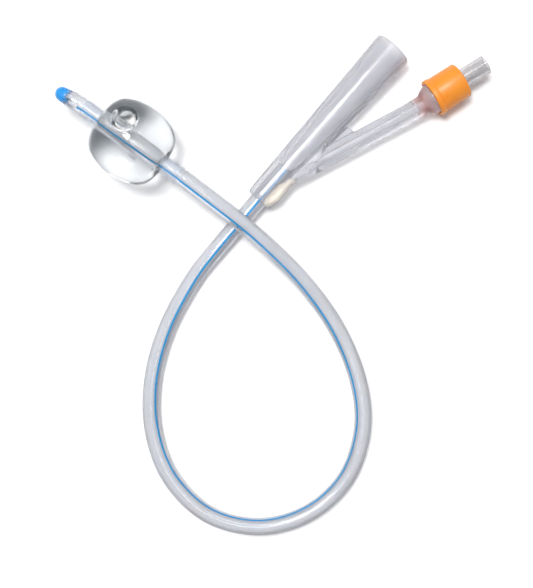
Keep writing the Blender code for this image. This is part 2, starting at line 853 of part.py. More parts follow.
def build_hub(hub_frame, valve_frame):
    """The Y piece: funnel, arm, base block, web and cup in one moulding."""
    hub = place("hub", hub_barrel(), hub_frame, hub_silicone())
    arm = arm_tube("hub_arm", ARM_START, ARM_ROOT_SINK, ARM_RADIUS, ARM_OVERLAP, 7)
    lumen_bar = arm_tube("arm_lumen", ARM_LUMEN_START, 0.0, ARM_LUMEN_RADIUS, OVERRUN, 4)
    additions = (
        place("hub_arm", arm, hub_frame),
        place("hub_cup", cup_outside(), valve_frame),
        place("hub_block", hub_block(), hub_frame),
        place("hub_web", hub_web(), hub_frame),
    )
    cuts = (
        place("cup_bore", cup_bore(), valve_frame),
        place("arm_lumen", lumen_bar, hub_frame),
        place("hub_bore", hub_bore(), hub_frame),
    )
    # The arm's lumen runs from the shaft's socket to the cup
    for shape in additions:
        combine(hub, shape, "UNION", "MANIFOLD")
    for shape in cuts:
        combine(hub, shape, "DIFFERENCE", "MANIFOLD")


def base_end():
    return VALVE_BASE_START + VALVE_BASE_THICK


def chamber_end():
    return base_end() + SEAT_GAP + CHAMBER_LENGTH


def sleeve_top():
    return CUP_LENGTH + SEAT_GAP + VALVE_FLANGE_THICK + SEAT_GAP + SLEEVE_TOP_WALL


def luer_rim():
    return sleeve_top() + LUER_REACH


def build_valve_base(valve_frame):
    """The disc that closes the cup, with a nipple to the arm and a boss for the spring."""
    start = VALVE_BASE_START
    nipple = BASE_NIPPLE_RADIUS
    profile = [
        (start - BASE_NIPPLE_LENGTH, BASE_BORE_RADIUS),
        (start - BASE_NIPPLE_LENGTH, nipple),
        (start, nipple + BASE_NIPPLE_FLARE),
        (start, VALVE_BODY_RADIUS),
        (base_end(), VALVE_BODY_RADIUS),
        (base_end(), BASE_BOSS_RADIUS),
        (base_end() + BASE_BOSS_LENGTH, BASE_BOSS_RADIUS),
        (base_end() + BASE_BOSS_LENGTH, BASE_BORE_RADIUS),
    ]
    place("valve_base", turned("valve_base", profile, SMALL_SEGMENTS), valve_frame, clear_plastic())


def build_valve_body(valve_frame):
    """The housing: skirt in the cup, flange over its rim, seat and luer port."""
    start = base_end() + SEAT_GAP
    flange = CUP_LENGTH + SEAT_GAP
    flange_radius = cup_radius()
    seat = chamber_end()
    bore_start = seat + VALVE_SEAT_THICK
    rim = luer_rim()
    bore_root = LUER_BORE_RADIUS - LUER_TAPER * (rim - bore_start)
    end = rounded((rim, LUER_RADIUS), (0.0, LUER_RADIUS), (rim, 0.0), LUER_RIM_ROUND, 2)
    profile = [
        (start, VALVE_CHAMBER_RADIUS),
        (start, VALVE_BODY_RADIUS),
        (flange, VALVE_BODY_RADIUS),
        (flange, flange_radius),
        (flange + VALVE_FLANGE_THICK, flange_radius),
        (flange + VALVE_FLANGE_THICK, LUER_RADIUS),
        *end,
        (rim, LUER_BORE_RADIUS),
        (bore_start, bore_root),
        (bore_start, VALVE_THROAT_RADIUS),
        (seat, VALVE_THROAT_RADIUS),
        (seat, VALVE_CHAMBER_RADIUS),
    ]
    place("valve_body", turned("valve_body", profile), valve_frame, clear_plastic())


def head_start():
    """Underside of the plunger's head, with the valve shut."""
    return chamber_end() - SEAT_GAP - SEAL_THICK - SEAT_GAP - STEM_HEAD_THICK


def build_plunger(plunger_frame):
    """The finned stem with its head and guide pin, and the seal on it."""
    head = head_start()
    head_end = head + STEM_HEAD_THICK
    tip_end = luer_rim() - STEM_BELOW_RIM
    profile = [
        (head - STEM_GUIDE_LENGTH, 0.0),
        (head - STEM_GUIDE_LENGTH, STEM_GUIDE_RADIUS),
        (head, STEM_GUIDE_RADIUS),
        (head, STEM_HEAD_RADIUS),
        (head_end, STEM_HEAD_RADIUS),
        (head_end, STEM_CORE_RADIUS),
        (tip_end, STEM_CORE_RADIUS),
        (tip_end, 0.0),
    ]
    stem = place(
        "valve_stem", turned("valve_stem", profile, SMALL_SEGMENTS), plunger_frame, white_plastic()
    )
    fin_start = head + STEM_HEAD_THICK / 2
    fin_end = tip_end + STEM_FIN_PROUD
    for i in range(2):
        bm = bmesh.new()
        bmesh.ops.create_cube(bm, size=1.0)
        size = (fin_end - fin_start, 2 * STEM_RADIUS, STEM_FIN_THICK)
        bmesh.ops.scale(bm, vec=size, verts=bm.verts)
        bmesh.ops.translate(bm, vec=((fin_end + fin_start) / 2, 0.0, 0.0), verts=bm.verts)
        turn = Matrix.Rotation(i * math.pi / 2, 4, "X")
        name = f"stem_fin_{i}"
        combine(stem, place(name, finished_mesh(name, bm), plunger_frame, matrix=turn), "UNION")

    seal = head_end + SEAT_GAP
    bore = STEM_RADIUS + SEAT_GAP
    middle = (seal + SEAL_THICK / 2, SEAL_RADIUS)
    ring = [
        (seal, bore),
        (seal, SEAL_RADIUS - SEAL_THICK / 2),
        middle,
        (seal + SEAL_THICK, SEAL_RADIUS - SEAL_THICK / 2),
        (seal + SEAL_THICK, bore),
    ]
    place("valve_seal", turned("valve_seal", ring, SMALL_SEGMENTS), plunger_frame, seal_rubber())


def build_spring(valve_frame):
    """The compression spring between the base and the plunger's head."""
    start = base_end() + SEAT_GAP + SPRING_WIRE_RADIUS
    end = head_start() - SEAT_GAP - SPRING_WIRE_RADIUS
    count = round(SPRING_TURNS * SPRING_STEPS_PER_TURN)
    points = []
    for i in range(count + 1):
        share = i / count
        turn = share * SPRING_TURNS * math.tau
        points.append(
            (
                start + (end - start) * share,
                SPRING_MEAN_RADIUS * math.cos(turn),
                SPRING_MEAN_RADIUS * math.sin(turn),
            )
        )
    place(
        "valve_spring",
        tube("valve_spring", points, SPRING_WIRE_RADIUS, 1),
        valve_frame,
        spring_steel(),
    )


def build_sleeve(valve_frame):
    """The size-code sleeve: lip, groove and tapered wall, closed in round the port."""
    lip = SLEEVE_START
    groove = lip + SLEEVE_LIP_LENGTH
    top = sleeve_top()
    bore = cup_radius() + SEAT_GAP
    hole = LUER_RADIUS + SEAT_GAP
    waist = SLEEVE_LIP_RADIUS - SLEEVE_GROOVE
    lip_edge = rounded(
        (lip, SLEEVE_LIP_RADIUS), (lip, 0.0), (groove, SLEEVE_LIP_RADIUS), SLEEVE_LIP_ROUND
    )
    top_edge = rounded(
        (top, SLEEVE_TOP_RADIUS), (0.0, SLEEVE_TOP_RADIUS), (top, 0.0), SLEEVE_LIP_ROUND
    )
    profile = [
        (lip, bore),
        *lip_edge,
        (groove - SLEEVE_GROOVE, SLEEVE_LIP_RADIUS),
        (groove, waist - SLEEVE_GROOVE / 2),
        (groove + SLEEVE_GROOVE, waist),
        *top_edge,
        (top, hole),
        (top - SLEEVE_TOP_WALL, hole),
        (top - SLEEVE_TOP_WALL, bore),
    ]
    place("colour_sleeve", turned("colour_sleeve", profile), valve_frame, orange_silicone())


def main():
    clear_scene()
    layout = empty("layout", None, LAYOUT)
    tilt = hub_tilt()
    hub_frame = empty("hub_frame", layout, hub_point(0.0), (0.0, -tilt, 0.0))
    along, aside = valve_start()
    turn = -math.radians(VALVE_ANGLE)
    valve_frame = empty("valve_frame", hub_frame, (along, -aside, 0.0), (0.0, 0.0, turn))
    plunger_frame = empty("plunger_frame", valve_frame, (0.0, 0.0, 0.0))

    curve = shaft_curve()
    side_on = (0.0, 0.0, math.radians(BALLOON_SIDE_ANGLE))
    bearing = empty("balloon_frame", layout, balloon_centre(), side_on)

    build_shaft(layout, curve)
    build_tip(layout, curve)
    build_balloon(bearing)
    build_hub(hub_frame, valve_frame)
    build_valve_base(valve_frame)
    build_valve_body(valve_frame)
    build_plunger(plunger_frame)
    build_spring(valve_frame)
    build_sleeve(valve_frame)


main()
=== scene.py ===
"""Two-way balloon catheter, 16 French, dressed and lit as in a product photograph.

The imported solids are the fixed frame. The shaft is a swept silicone tube with its
blue line, the balloon holds clear water with an air bubble, and the Y hub carries a
sprung check valve under an orange size-code sleeve.
"""

import logging
import math
from dataclasses import dataclass, field
from enum import Enum
from typing import Any, Sequence

import bmesh
import bpy
import numpy as np
from mathutils import Matrix, Vector


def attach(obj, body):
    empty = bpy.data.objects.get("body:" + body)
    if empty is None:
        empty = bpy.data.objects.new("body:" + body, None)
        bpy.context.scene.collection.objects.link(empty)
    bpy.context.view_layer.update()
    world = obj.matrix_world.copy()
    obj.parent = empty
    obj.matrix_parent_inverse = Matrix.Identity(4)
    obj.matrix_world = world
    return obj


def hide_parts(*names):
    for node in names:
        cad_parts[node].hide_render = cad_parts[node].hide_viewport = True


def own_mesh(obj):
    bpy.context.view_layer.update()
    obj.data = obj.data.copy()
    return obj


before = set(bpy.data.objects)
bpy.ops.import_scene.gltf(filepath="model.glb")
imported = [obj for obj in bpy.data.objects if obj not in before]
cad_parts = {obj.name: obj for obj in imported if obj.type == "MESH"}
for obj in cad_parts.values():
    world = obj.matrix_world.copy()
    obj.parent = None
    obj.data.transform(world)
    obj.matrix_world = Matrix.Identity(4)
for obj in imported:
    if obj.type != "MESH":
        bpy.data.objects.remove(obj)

# Sizes are in millimetres and angles in degrees, where a name or comment doesn't say otherwise
MM = 0.001
LOG = logging.getLogger("catheter")
Point = tuple[float, float, float]
Profile = Sequence[tuple[float, float]]

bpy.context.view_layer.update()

# Points of a mesh that lie closer than this are one point
MERGE_GAP = 0.0005 * MM

# How finely the clouds and the grain of a finish are broken up
CLOUD_DETAIL = 3.0
GRAIN_DETAIL = 4.0
NOISE_ROUGHNESS = 0.5

# How far red, green and blue light reach under a surface, as shares of its depth
LIGHT_REACH = (1.0, 0.9, 0.8)

# A tint thins to this share where the clouds are at their lowest
THIN_TINT = 0.7
CLOUD_LOW, CLOUD_HIGH = 0.3, 0.7


def linear(code: str) -> tuple[float, float, float, float]:
    """Turns an sRGB hex colour to linear light.

    Args:
        code: The colour as "#RRGGBB".

    Returns:
        Red, green, blue and an alpha of 1.
    """
    shares = [int(code[i : i + 2], 16) / 255 for i in (1, 3, 5)]
    red, green, blue = (
        share / 12.92 if share <= 0.04045 else ((share + 0.055) / 1.055) ** 2.4 for share in shares
    )
    return red, green, blue, 1.0


def add_node(
    tree: bpy.types.NodeTree,
    kind: str,
    settings: dict[str | int, Any] | None = None,
    links: dict[str | int, bpy.types.NodeSocket] | None = None,
) -> bpy.types.Node:
    """Adds a node to a tree with its settings and links.

    Args:
        tree: The node tree.
        kind: The node's type.
        settings: Socket values by name or number, and other options by name.
        links: Sockets that feed this node's inputs, by name or number.

    Returns:
        The new node.
    """
    node = tree.nodes.new(kind)
    for key, value in (settings or {}).items():
        if isinstance(key, int) or key in node.inputs:
            node.inputs[key].default_value = value
        else:
            setattr(node, key, value)
    for key, socket in (links or {}).items():
        tree.links.new(socket, node.inputs[key])
    return node


@dataclass(frozen=True)
class Zone:
    """A place where a moulding has another tint, fading out from its middle; some tints are its own
    colour, and some are painted light from a part nearby.
    """

    middle_mm: Point
    inner_mm: float
    outer_mm: float
    colour: str
    transmission: float
    strength: float = 1.0


@dataclass(frozen=True)
class Finish:
    """A surface as a mould, an extruder's die or wire drawing leaves it.

    Colour drifts between two shades in soft clouds, and the gloss and a shallow bump
    vary at the size of the tool's own marks.
    """

    name: str
    colour: str
    shade: str
    cloud_mm: float
    roughness: float
    roughness_spread: float = 0.04
    transmission: float = 0.0
    ior: float = 1.41
    subsurface: float = 0.0
    depth_mm: float = 1.0
    grain_mm: float = 0.4
    grain_height_mm: float = 0.004
    metallic: float = 0.0
    alpha: float = 1.0
    lamps_through: float = 0.0
    stretch: Point = (1.0, 1.0, 1.0)
    zones: tuple[Zone, ...] = ()

    def build(self) -> bpy.types.Material:
        """Makes the material with its nodes.

        Returns:
            The material.
        """
        material = bpy.data.materials.new(self.name)
        material.use_nodes = True
        tree = material.node_tree
        tree.nodes.clear()
        place = add_node(tree, "ShaderNodeTexCoord").outputs["Object"]
        drawn = add_node(
            tree, "ShaderNodeVectorMath", {"operation": "MULTIPLY", 1: self.stretch}, {0: place}
        ).outputs["Vector"]
        clouds = self.noise(tree, drawn, self.cloud_mm, CLOUD_DETAIL)
        grain = self.noise(tree, place, self.grain_mm, GRAIN_DETAIL)
        colour = add_node(
            tree,
            "ShaderNodeMix",
            {"data_type": "RGBA", 6: linear(self.colour), 7: linear(self.shade)},
            {0: clouds},
        ).outputs[2]
        inputs = {}
        for zone in self.zones:
            share = self.share(tree, place, clouds, zone)
            colour = add_node(
                tree,
                "ShaderNodeMix",
                {"data_type": "RGBA", 7: linear(zone.colour)},
                {0: share, 6: colour},
            ).outputs[2]
            clear = inputs.get("Transmission Weight")
            inputs["Transmission Weight"] = add_node(
                tree,
                "ShaderNodeMix",
                {"data_type": "FLOAT", 2: self.transmission, 3: zone.transmission},
                {0: share, 2: clear} if clear else {0: share},
            ).outputs[0]
        gloss = add_node(
            tree,
            "ShaderNodeMapRange",
            {
                "To Min": max(self.roughness - self.roughness_spread, 0.0),
                "To Max": self.roughness + self.roughness_spread,
            },
            {"Value": grain},
        ).outputs["Result"]
        bump = add_node(
            tree,
            "ShaderNodeBump",
            {"Strength": 1.0, "Distance": self.grain_height_mm * MM},
            {"Height": grain},
        ).outputs["Normal"]
        settings = {
            "Metallic": self.metallic,
            "Transmission Weight": self.transmission,
            "Subsurface Weight": self.subsurface,
            "Subsurface Radius": LIGHT_REACH,
            "Subsurface Scale": self.depth_mm * MM,
            "Alpha": self.alpha,
        }
        if not self.metallic:
            settings["IOR"] = self.ior
        shader = add_node(
            tree,
            "ShaderNodeBsdfPrincipled",
            settings,
            {"Base Color": colour, "Roughness": gloss, "Normal": bump, **inputs},
        )
        surface = shader.outputs[0]
        if self.lamps_through:
            surface = self.let_lamps_through(tree, surface)
        add_node(tree, "ShaderNodeOutputMaterial", {}, {"Surface": surface})
        return material

    def let_lamps_through(
        self, tree: bpy.types.NodeTree, surface: bpy.types.NodeSocket
    ) -> bpy.types.NodeSocket:
        """Lets a share of the lamps' light pass each wall, so that the shadow is pale.

        Args:
            tree: The material's node tree.
            surface: The shader that every other ray meets.

        Returns:
            The two shaders, mixed by the kind of ray.
        """
        level = self.lamps_through
        gap = add_node(tree, "ShaderNodeBsdfTransparent", {"Color": (level, level, level, 1.0)})
        lamps = add_node(tree, "ShaderNodeLightPath").outputs["Is Shadow Ray"]
        mix = add_node(
            tree, "ShaderNodeMixShader", {}, {0: lamps, 1: surface, 2: gap.outputs[0]}
        )
        return mix.outputs[0]

    def share(
        self,
        tree: bpy.types.NodeTree,
        place: bpy.types.NodeSocket,
        clouds: bpy.types.NodeSocket,
        zone: Zone,
    ) -> bpy.types.NodeSocket:
        """A zone's share at each point, uneven as the clouds are.

        Args:
            tree: The material's node tree.
            place: The point on the piece.
            clouds: The noise that the finish's colour drifts by.
            zone: The place with its own tint.

        Returns:
            The zone's share.
        """
        middle = tuple(value * MM for value in zone.middle_mm)
        apart = add_node(
            tree, "ShaderNodeVectorMath", {"operation": "DISTANCE", 1: middle}, {0: place}
        )
        share = add_node(
            tree,
            "ShaderNodeMapRange",
            {
                "interpolation_type": "SMOOTHSTEP",
                "From Min": zone.inner_mm * MM,
                "From Max": zone.outer_mm * MM,
                "To Min": zone.strength,
                "To Max": 0.0,
            },
            {"Value": apart.outputs["Value"]},
        )
        uneven = add_node(
            tree,
            "ShaderNodeMapRange",
            {"From Min": CLOUD_LOW, "From Max": CLOUD_HIGH, "To Min": THIN_TINT, "To Max": 1.0},
            {"Value": clouds},
        )
        return add_node(
            tree,
            "ShaderNodeMath",
            {"operation": "MULTIPLY"},
            {0: share.outputs["Result"], 1: uneven.outputs["Result"]},
        ).outputs[0]

    def noise(
        self, tree: bpy.types.NodeTree, place: bpy.types.NodeSocket, size_mm: float, detail: float
    ) -> bpy.types.NodeSocket:
        """Adds soft noise whose patches are about size_mm across."""
        settings = {"Scale": 1.0 / (size_mm * MM), "Detail": detail, "Roughness": NOISE_ROUGHNESS}
        return add_node(tree, "ShaderNodeTexNoise", settings, {"Vector": place}).outputs["Fac"]


@dataclass(frozen=True)
class GatheringWater(Finish):
    """Water in a round skin, which gathers the lamps' light like a lens.

    The renderer doesn't bend light on its way to a shadow, so a fixed pattern stands in
    for it: the light passes more than fully on the side away from the lamps, and hardly
    at all on the near side.
    """

    towards: Point = (0.473, 0.881, 0.0)
    middle_mm: float = 0.6
    dark_mm: float = 4.2
    bright_mm: float = -0.4
    foot_mm: float = 3.0
    side_mm: float = 7.0
    dark: float = 0.06
    bright: float = 2.6
    side: float = 0.52

    def let_lamps_through(
        self, tree: bpy.types.NodeTree, surface: bpy.types.NodeSocket
    ) -> bpy.types.NodeSocket:
        """Passes the lamps' light by where it meets the water's underside.

        Args:
            tree: The material's node tree.
            surface: The shader that every other ray meets.

        Returns:
            The two shaders, mixed by the kind of ray.
        """
        place = add_node(tree, "ShaderNodeTexCoord").outputs["Object"]
        axes = add_node(tree, "ShaderNodeSeparateXYZ", {}, {0: place}).outputs
        reach = add_node(
            tree,
            "ShaderNodeVectorMath",
            {"operation": "DOT_PRODUCT", 1: self.towards},
            {0: place},
        )
        patch = add_node(
            tree,
            "ShaderNodeMapRange",
            {
                "interpolation_type": "SMOOTHSTEP",
                "From Min": (self.middle_mm + self.bright_mm) * MM,
                "From Max": (self.middle_mm + self.dark_mm) * MM,
                "To Min": self.bright,
                "To Max": self.dark,
            },
            {"Value": reach.outputs["Value"]},
        )
        height = add_node(
            tree,
            "ShaderNodeMapRange",
            {"From Min": self.foot_mm * MM, "From Max": self.side_mm * MM},
            {"Value": axes["Z"]},
        )
        level = add_node(
            tree,
            "ShaderNodeMix",
            {"data_type": "FLOAT", 3: self.side},
            {0: height.outputs["Result"], 2: patch.outputs["Result"]},
        )
        gap = add_node(tree, "ShaderNodeBsdfTransparent", {}, {"Color": level.outputs[0]})
        rays = add_node(tree, "ShaderNodeLightPath").outputs
        lit = add_node(
            tree,
            "ShaderNodeMath",
            {"operation": "MAXIMUM"},
            {0: rays["Is Shadow Ray"], 1: rays["Is Diffuse Ray"]},
        )
        mix = add_node(
            tree,
            "ShaderNodeMixShader",
            {},
            {0: lit.outputs[0], 1: surface, 2: gap.outputs[0]},
        )
        return mix.outputs[0]


# Silicone rubber, extruded: milky and clear at once, glossy, with faint drawn clouds
SHAFT_SILICONE = Finish(
    name="silicone_extruded_clear",
    colour="#F8F9FC",
    shade="#EAEDF5",
    cloud_mm=9.0,
    roughness=0.09,
    roughness_spread=0.02,
    transmission=0.85,
    subsurface=0.2,
    depth_mm=2.0,
    grain_mm=0.9,
    grain_height_mm=0.0015,
    lamps_through=0.24,
)

# The same silicone where the die's pin drew the channels: a matt wall that shows white
CHANNEL_SILICONE = Finish(
    name="silicone_extruded_channel",
    colour="#FAFAFC",
    shade="#F0F1F6",
    cloud_mm=6.0,
    roughness=0.5,
    transmission=0.25,
    subsurface=0.4,
    depth_mm=1.0,
    grain_mm=0.6,
    lamps_through=0.25,
)

# Pigmented silicone, extruded in the wall: an even azure that shows at every angle
LINE_SILICONE = Finish(
    name="silicone_radiopaque_blue_line",
    colour="#0E92D4",
    shade="#2C9FDC",
    cloud_mm=14.0,
    roughness=0.2,
    subsurface=0.2,
    depth_mm=0.3,
)

# Pigmented silicone, moulded on the tube's end: light passes a little at the rim
TIP_SILICONE = Finish(
    name="silicone_moulded_blue",
    colour="#2F9DF2",
    shade="#4CB2FA",
    cloud_mm=2.2,
    roughness=0.16,
    transmission=0.15,
    subsurface=0.5,
    depth_mm=1.2,
)

# Silicone dipped skin, a few tenths of a millimetre thick: almost clear, with a blue cast
SKIN_SILICONE = Finish(
    name="silicone_dipped_skin",
    colour="#C9D8E6",
    shade="#D6E1EC",
    cloud_mm=6.0,
    roughness=0.09,
    roughness_spread=0.02,
    alpha=0.06,
    grain_mm=2.5,
    lamps_through=1.0,
)

# Silicone cuff bonded on the shaft: thicker than the skin, so it shows pale blue-grey
CUFF_SILICONE = Finish(
    name="silicone_bonded_cuff",
    colour="#CAD9E7",
    shade="#B9CDDF",
    cloud_mm=3.0,
    roughness=0.18,
    transmission=0.55,
    subsurface=0.3,
    alpha=0.17,
    lamps_through=0.95,
)

# Sterile water: clear, with no surface marks
WATER = GatheringWater(
    name="water_clear",
    colour="#FFFEFB",
    shade="#FFFDF8",
    cloud_mm=30.0,
    roughness=0.0,
    roughness_spread=0.0,
    transmission=1.0,
    ior=1.333,
    grain_mm=30.0,
    grain_height_mm=0.0,
    lamps_through=0.97,
)

# Silicone, injection moulded: thicker and milkier than the tube, with streaks along it,
# cream on the block, and on the bulb a pink that is painted light: the orange sleeve's glow,
# reflected into the clear bulb
HUB_SILICONE = Finish(
    name="silicone_moulded_clear",
    colour="#FAFAFB",
    shade="#E2E3EA",
    cloud_mm=2.2,
    roughness=0.16,
    transmission=0.82,
    subsurface=0.25,
    depth_mm=2.5,
    grain_mm=0.8,
    grain_height_mm=0.014,
    lamps_through=0.3,
    stretch=(0.22, 1.0, 1.0),
    zones=(
        Zone((-24.8, -24.2, 7.4), 2.2, 3.2, "#FFF3E4", 0.25),
        Zone((-22.3, -24.4, 7.4), 2.4, 3.4, "#FFF3E4", 0.25),
        Zone((-19.8, -24.6, 7.4), 2.4, 3.4, "#FFF3E4", 0.25),
        Zone((-17.3, -25.0, 7.2), 2.0, 3.2, "#FFF4E8", 0.35),
        # Painted reflection: a pink tint where the orange sleeve's light would glow in the clear
        # bulb
        Zone((31.5, -39.1, 6.0), 3.2, 6.5, "#E79F96", 0.6, 0.9),
    ),
)

# The same silicone on the mould's cores: a matt wall that shows through, white and uneven
BORE_SILICONE = Finish(
    name="silicone_moulded_bore",
    colour="#FCFCFD",
    shade="#D5D6E0",
    cloud_mm=2.0,
    roughness=0.45,
    transmission=0.6,
    subsurface=0.3,
    depth_mm=1.5,
    grain_mm=0.5,
    grain_height_mm=0.02,
    lamps_through=0.4,
    stretch=(0.2, 1.0, 1.0),
)

# Clear ABS, injection moulded: hard gloss and a trace of grey
VALVE_PLASTIC = Finish(
    name="abs_moulded_clear",
    colour="#F2F1F2",
    shade="#DEDCDF",
    cloud_mm=2.0,
    roughness=0.07,
    roughness_spread=0.03,
    transmission=0.8,
    ior=1.54,
    lamps_through=0.25,
)

# Acetal, injection moulded: opaque white with a low gloss
STEM_PLASTIC = Finish(
    name="acetal_moulded_white",
    colour="#EDEDE9",
    shade="#E3E3DF",
    cloud_mm=2.0,
    roughness=0.32,
    ior=1.48,
)

# Nitrile rubber ring: matt and grey
SEAL_RUBBER = Finish(
    name="nitrile_rubber_seal",
    colour="#B9B6B0",
    shade="#A8A59F",
    cloud_mm=1.0,
    roughness=0.6,
    ior=1.52,
    grain_mm=0.2,
)

# Stainless steel wire, cold drawn: fine lines give a soft metal gloss
SPRING_STEEL = Finish(
    name="stainless_steel_wire",
    colour="#C9C8C6",
    shade="#B4B2AF",
    cloud_mm=0.8,
    roughness=0.24,
    metallic=1.0,
    grain_mm=0.12,
)

# Pigmented silicone, moulded: warm orange, satin, light passes at thin edges
SLEEVE_SILICONE = Finish(
    name="silicone_moulded_orange",
    colour="#FFA040",
    shade="#F7922F",
    cloud_mm=5.0,
    roughness=0.36,
    subsurface=0.25,
    depth_mm=1.2,
    grain_mm=0.5,
    grain_height_mm=0.01,
)


@dataclass(frozen=True)
class Seat:
    """Where a piece's own axis lies: an origin and its X direction, in the frame."""

    origin_mm: Point
    along: Point
    up: Point = (0.0, 0.0, 1.0)

    def matrix(self) -> Matrix:
        """The matrix from the piece's own axes to the frame's.

        Returns:
            The matrix, in metres.
        """
        along = Vector(self.along).normalized()
        side = Vector(self.up).cross(along).normalized()
        axes = Matrix((along, side, along.cross(side))).transposed().to_4x4()
        return Matrix.Translation(Vector(self.origin_mm) * MM) @ axes

    def point(self, along_mm: float, side_mm: float = 0.0, up_mm: float = 0.0) -> Vector:
        """A point given in the piece's own millimetres, in the frame's metres."""
        return self.matrix() @ (Vector((along_mm, side_mm, up_mm)) * MM)


HUB_SEAT = Seat((-26.814, -20.008, 4.326), (0.99955, 0.0, 0.029987))
VALVE_SEAT = Seat((29.511, -38.502, 6.016), (0.962259, -0.2706, 0.028868))
BALLOON_SEAT = Seat((-39.614, 19.922, 12.35), (-0.109734, 0.993961, 0.0))


class Body(Enum):
    """The bodies that pieces ride on."""

    CATHETER = "catheter"
    PLUNGER = "plunger"


class Join(Enum):
    """What a second shape does to a piece."""

    ADD = "UNION"
    CUT = "DIFFERENCE"


def deselect() -> None:
    """Leaves edit mode and selects nothing."""
    if bpy.context.object and bpy.context.object.mode != "OBJECT":
        bpy.ops.object.mode_set(mode="OBJECT")
    bpy.ops.object.select_all(action="DESELECT")


def activate(piece: bpy.types.Object) -> None:
    """Makes a piece the only selected and the active one.

    Args:
        piece: The piece.
    """
    deselect()
    piece.select_set(True)
    bpy.context.view_layer.objects.active = piece


def settle(piece: bpy.types.Object, matrix: Matrix) -> bpy.types.Object:
    """Puts a piece in its place and writes the place into its mesh.

    Args:
        piece: The piece.
        matrix: Its place, on top of the one that it has.

    Returns:
        The same piece.
    """
    activate(piece)
    piece.matrix_world = matrix @ piece.matrix_world
    bpy.ops.object.transform_apply(location=True, rotation=True, scale=True)
    return piece


def smooth(piece: bpy.types.Object, degrees: float = 35.0) -> bpy.types.Object:
    """Shades a piece smooth, with its sharp edges kept.

    Args:
        piece: The piece.
        degrees: An edge that turns by more than this stays sharp.

    Returns:
        The same piece.
    """
    activate(piece)
    bpy.ops.object.shade_smooth_by_angle(angle=math.radians(degrees))
    return piece


def apply_all(piece: bpy.types.Object) -> None:
    """Applies a piece's modifiers in order.

    Args:
        piece: The piece.
    """
    activate(piece)
    for modifier in list(piece.modifiers):
        bpy.ops.object.modifier_apply(modifier=modifier.name)


def dress(piece: bpy.types.Object, *materials: bpy.types.Material) -> bpy.types.Object:
    """Gives a piece its materials, in the order of its faces' numbers.

    Args:
        piece: The piece.
        *materials: The materials, the first for faces with the number 0.

    Returns:
        The same piece.
    """
    piece.data.materials.clear()
    for material in materials:
        piece.data.materials.append(material)
    return piece


def number_faces(piece: bpy.types.Object, number: int) -> None:
    """Gives all of a piece's faces one of its materials."""
    for polygon in piece.data.polygons:
        polygon.material_index = number


def combine(piece: bpy.types.Object, other: bpy.types.Object, join: Join) -> None:
    """Joins a second shape to a piece or cuts it away, and removes the second shape.

    Args:
        piece: The piece that stays.
        other: The second shape.
        join: Whether the second shape is added or cut away.
    """
    step = piece.modifiers.new(other.name, "BOOLEAN")
    step.operation = join.value
    step.solver = "MANIFOLD"
    step.object = other
    apply_all(piece)
    bpy.data.objects.remove(other)


def turned(
    name: str, profile: Profile, seat: Seat | None = None, segments: int = 64, solid: bool = False
) -> bpy.types.Object:
    """Turns a profile round the X axis: one ring, extruded and scaled point by point.

    Args:
        name: The piece's name.
        profile: Points as (along, radius) in millimetres, radius above zero.
        seat: Where the axis lies. None leaves it on the frame's own axis.
        segments: Sides of each ring.
        solid: True for a bar with flat ends, False for a wall that closes on itself.

    Returns:
        The piece, in its place.
    """
    deselect()
    along, radius = profile[0]
    bpy.ops.mesh.primitive_circle_add(
        vertices=segments,
        radius=radius * MM,
        fill_type="NGON" if solid else "NOTHING",
        location=(0.0, 0.0, along * MM),
    )
    piece = bpy.context.object
    piece.name = name
    bpy.ops.object.transform_apply(location=True, rotation=False, scale=False)
    bpy.ops.object.mode_set(mode="EDIT")
    bpy.ops.mesh.select_all(action="SELECT")
    points = list(profile[1:]) if solid else [*profile[1:], profile[0]]
    for next_along, next_radius in points:
        bpy.ops.mesh.extrude_region_move(
            TRANSFORM_OT_translate={"value": (0.0, 0.0, (next_along - along) * MM)}
        )
        scale = next_radius / radius
        centre = (0.0, 0.0, next_along * MM)
        bpy.ops.transform.resize(value=(scale, scale, 1.0), center_override=centre)
        along, radius = next_along, next_radius
    bpy.ops.mesh.select_all(action="SELECT")
    bpy.ops.mesh.remove_doubles(threshold=MERGE_GAP)
    bpy.ops.mesh.normals_make_consistent(inside=False)
    bpy.ops.object.mode_set(mode="OBJECT")
    settle(piece, Matrix.Rotation(math.pi / 2, 4, "Y"))
    return settle(piece, seat.matrix()) if seat else piece


def arc(
    centre: tuple[float, float], radius: float, start: float, end: float, steps: int
) -> list[tuple[float, float]]:
    """Points of an arc in a profile, without its last one.

    Args:
        centre: The arc's centre as (along, radius).
        radius: The arc's own radius.
        start: The angle that it starts at, in radians.
        end: The angle that it ends at, in radians.
        steps: Steps of the arc.

    Returns:
        The arc's points.
    """
    turns = [start + (end - start) * i / steps for i in range(steps)]
    return [
        (centre[0] + radius * math.cos(turn), centre[1] + radius * math.sin(turn)) for turn in turns
    ]


def rounded(corner: tuple[float, float], radius: float, turn: int, steps: int = 4) -> Profile:
    """An arc in place of an outer corner of a profile.

    Args:
        corner: The corner as (along, radius).
        radius: The arc's radius.
        turn: 1 where the profile comes up and turns ahead, -1 where it turns down.
        steps: Steps of the arc.

    Returns:
        The arc's points.
    """
    centre = (corner[0] + turn * radius, corner[1] - radius)
    start, end = (math.pi, math.pi / 2) if turn > 0 else (math.pi / 2, 0.0)
    return [*arc(centre, radius, start, end, steps), *arc(centre, radius, end, end + 1.0, 1)]


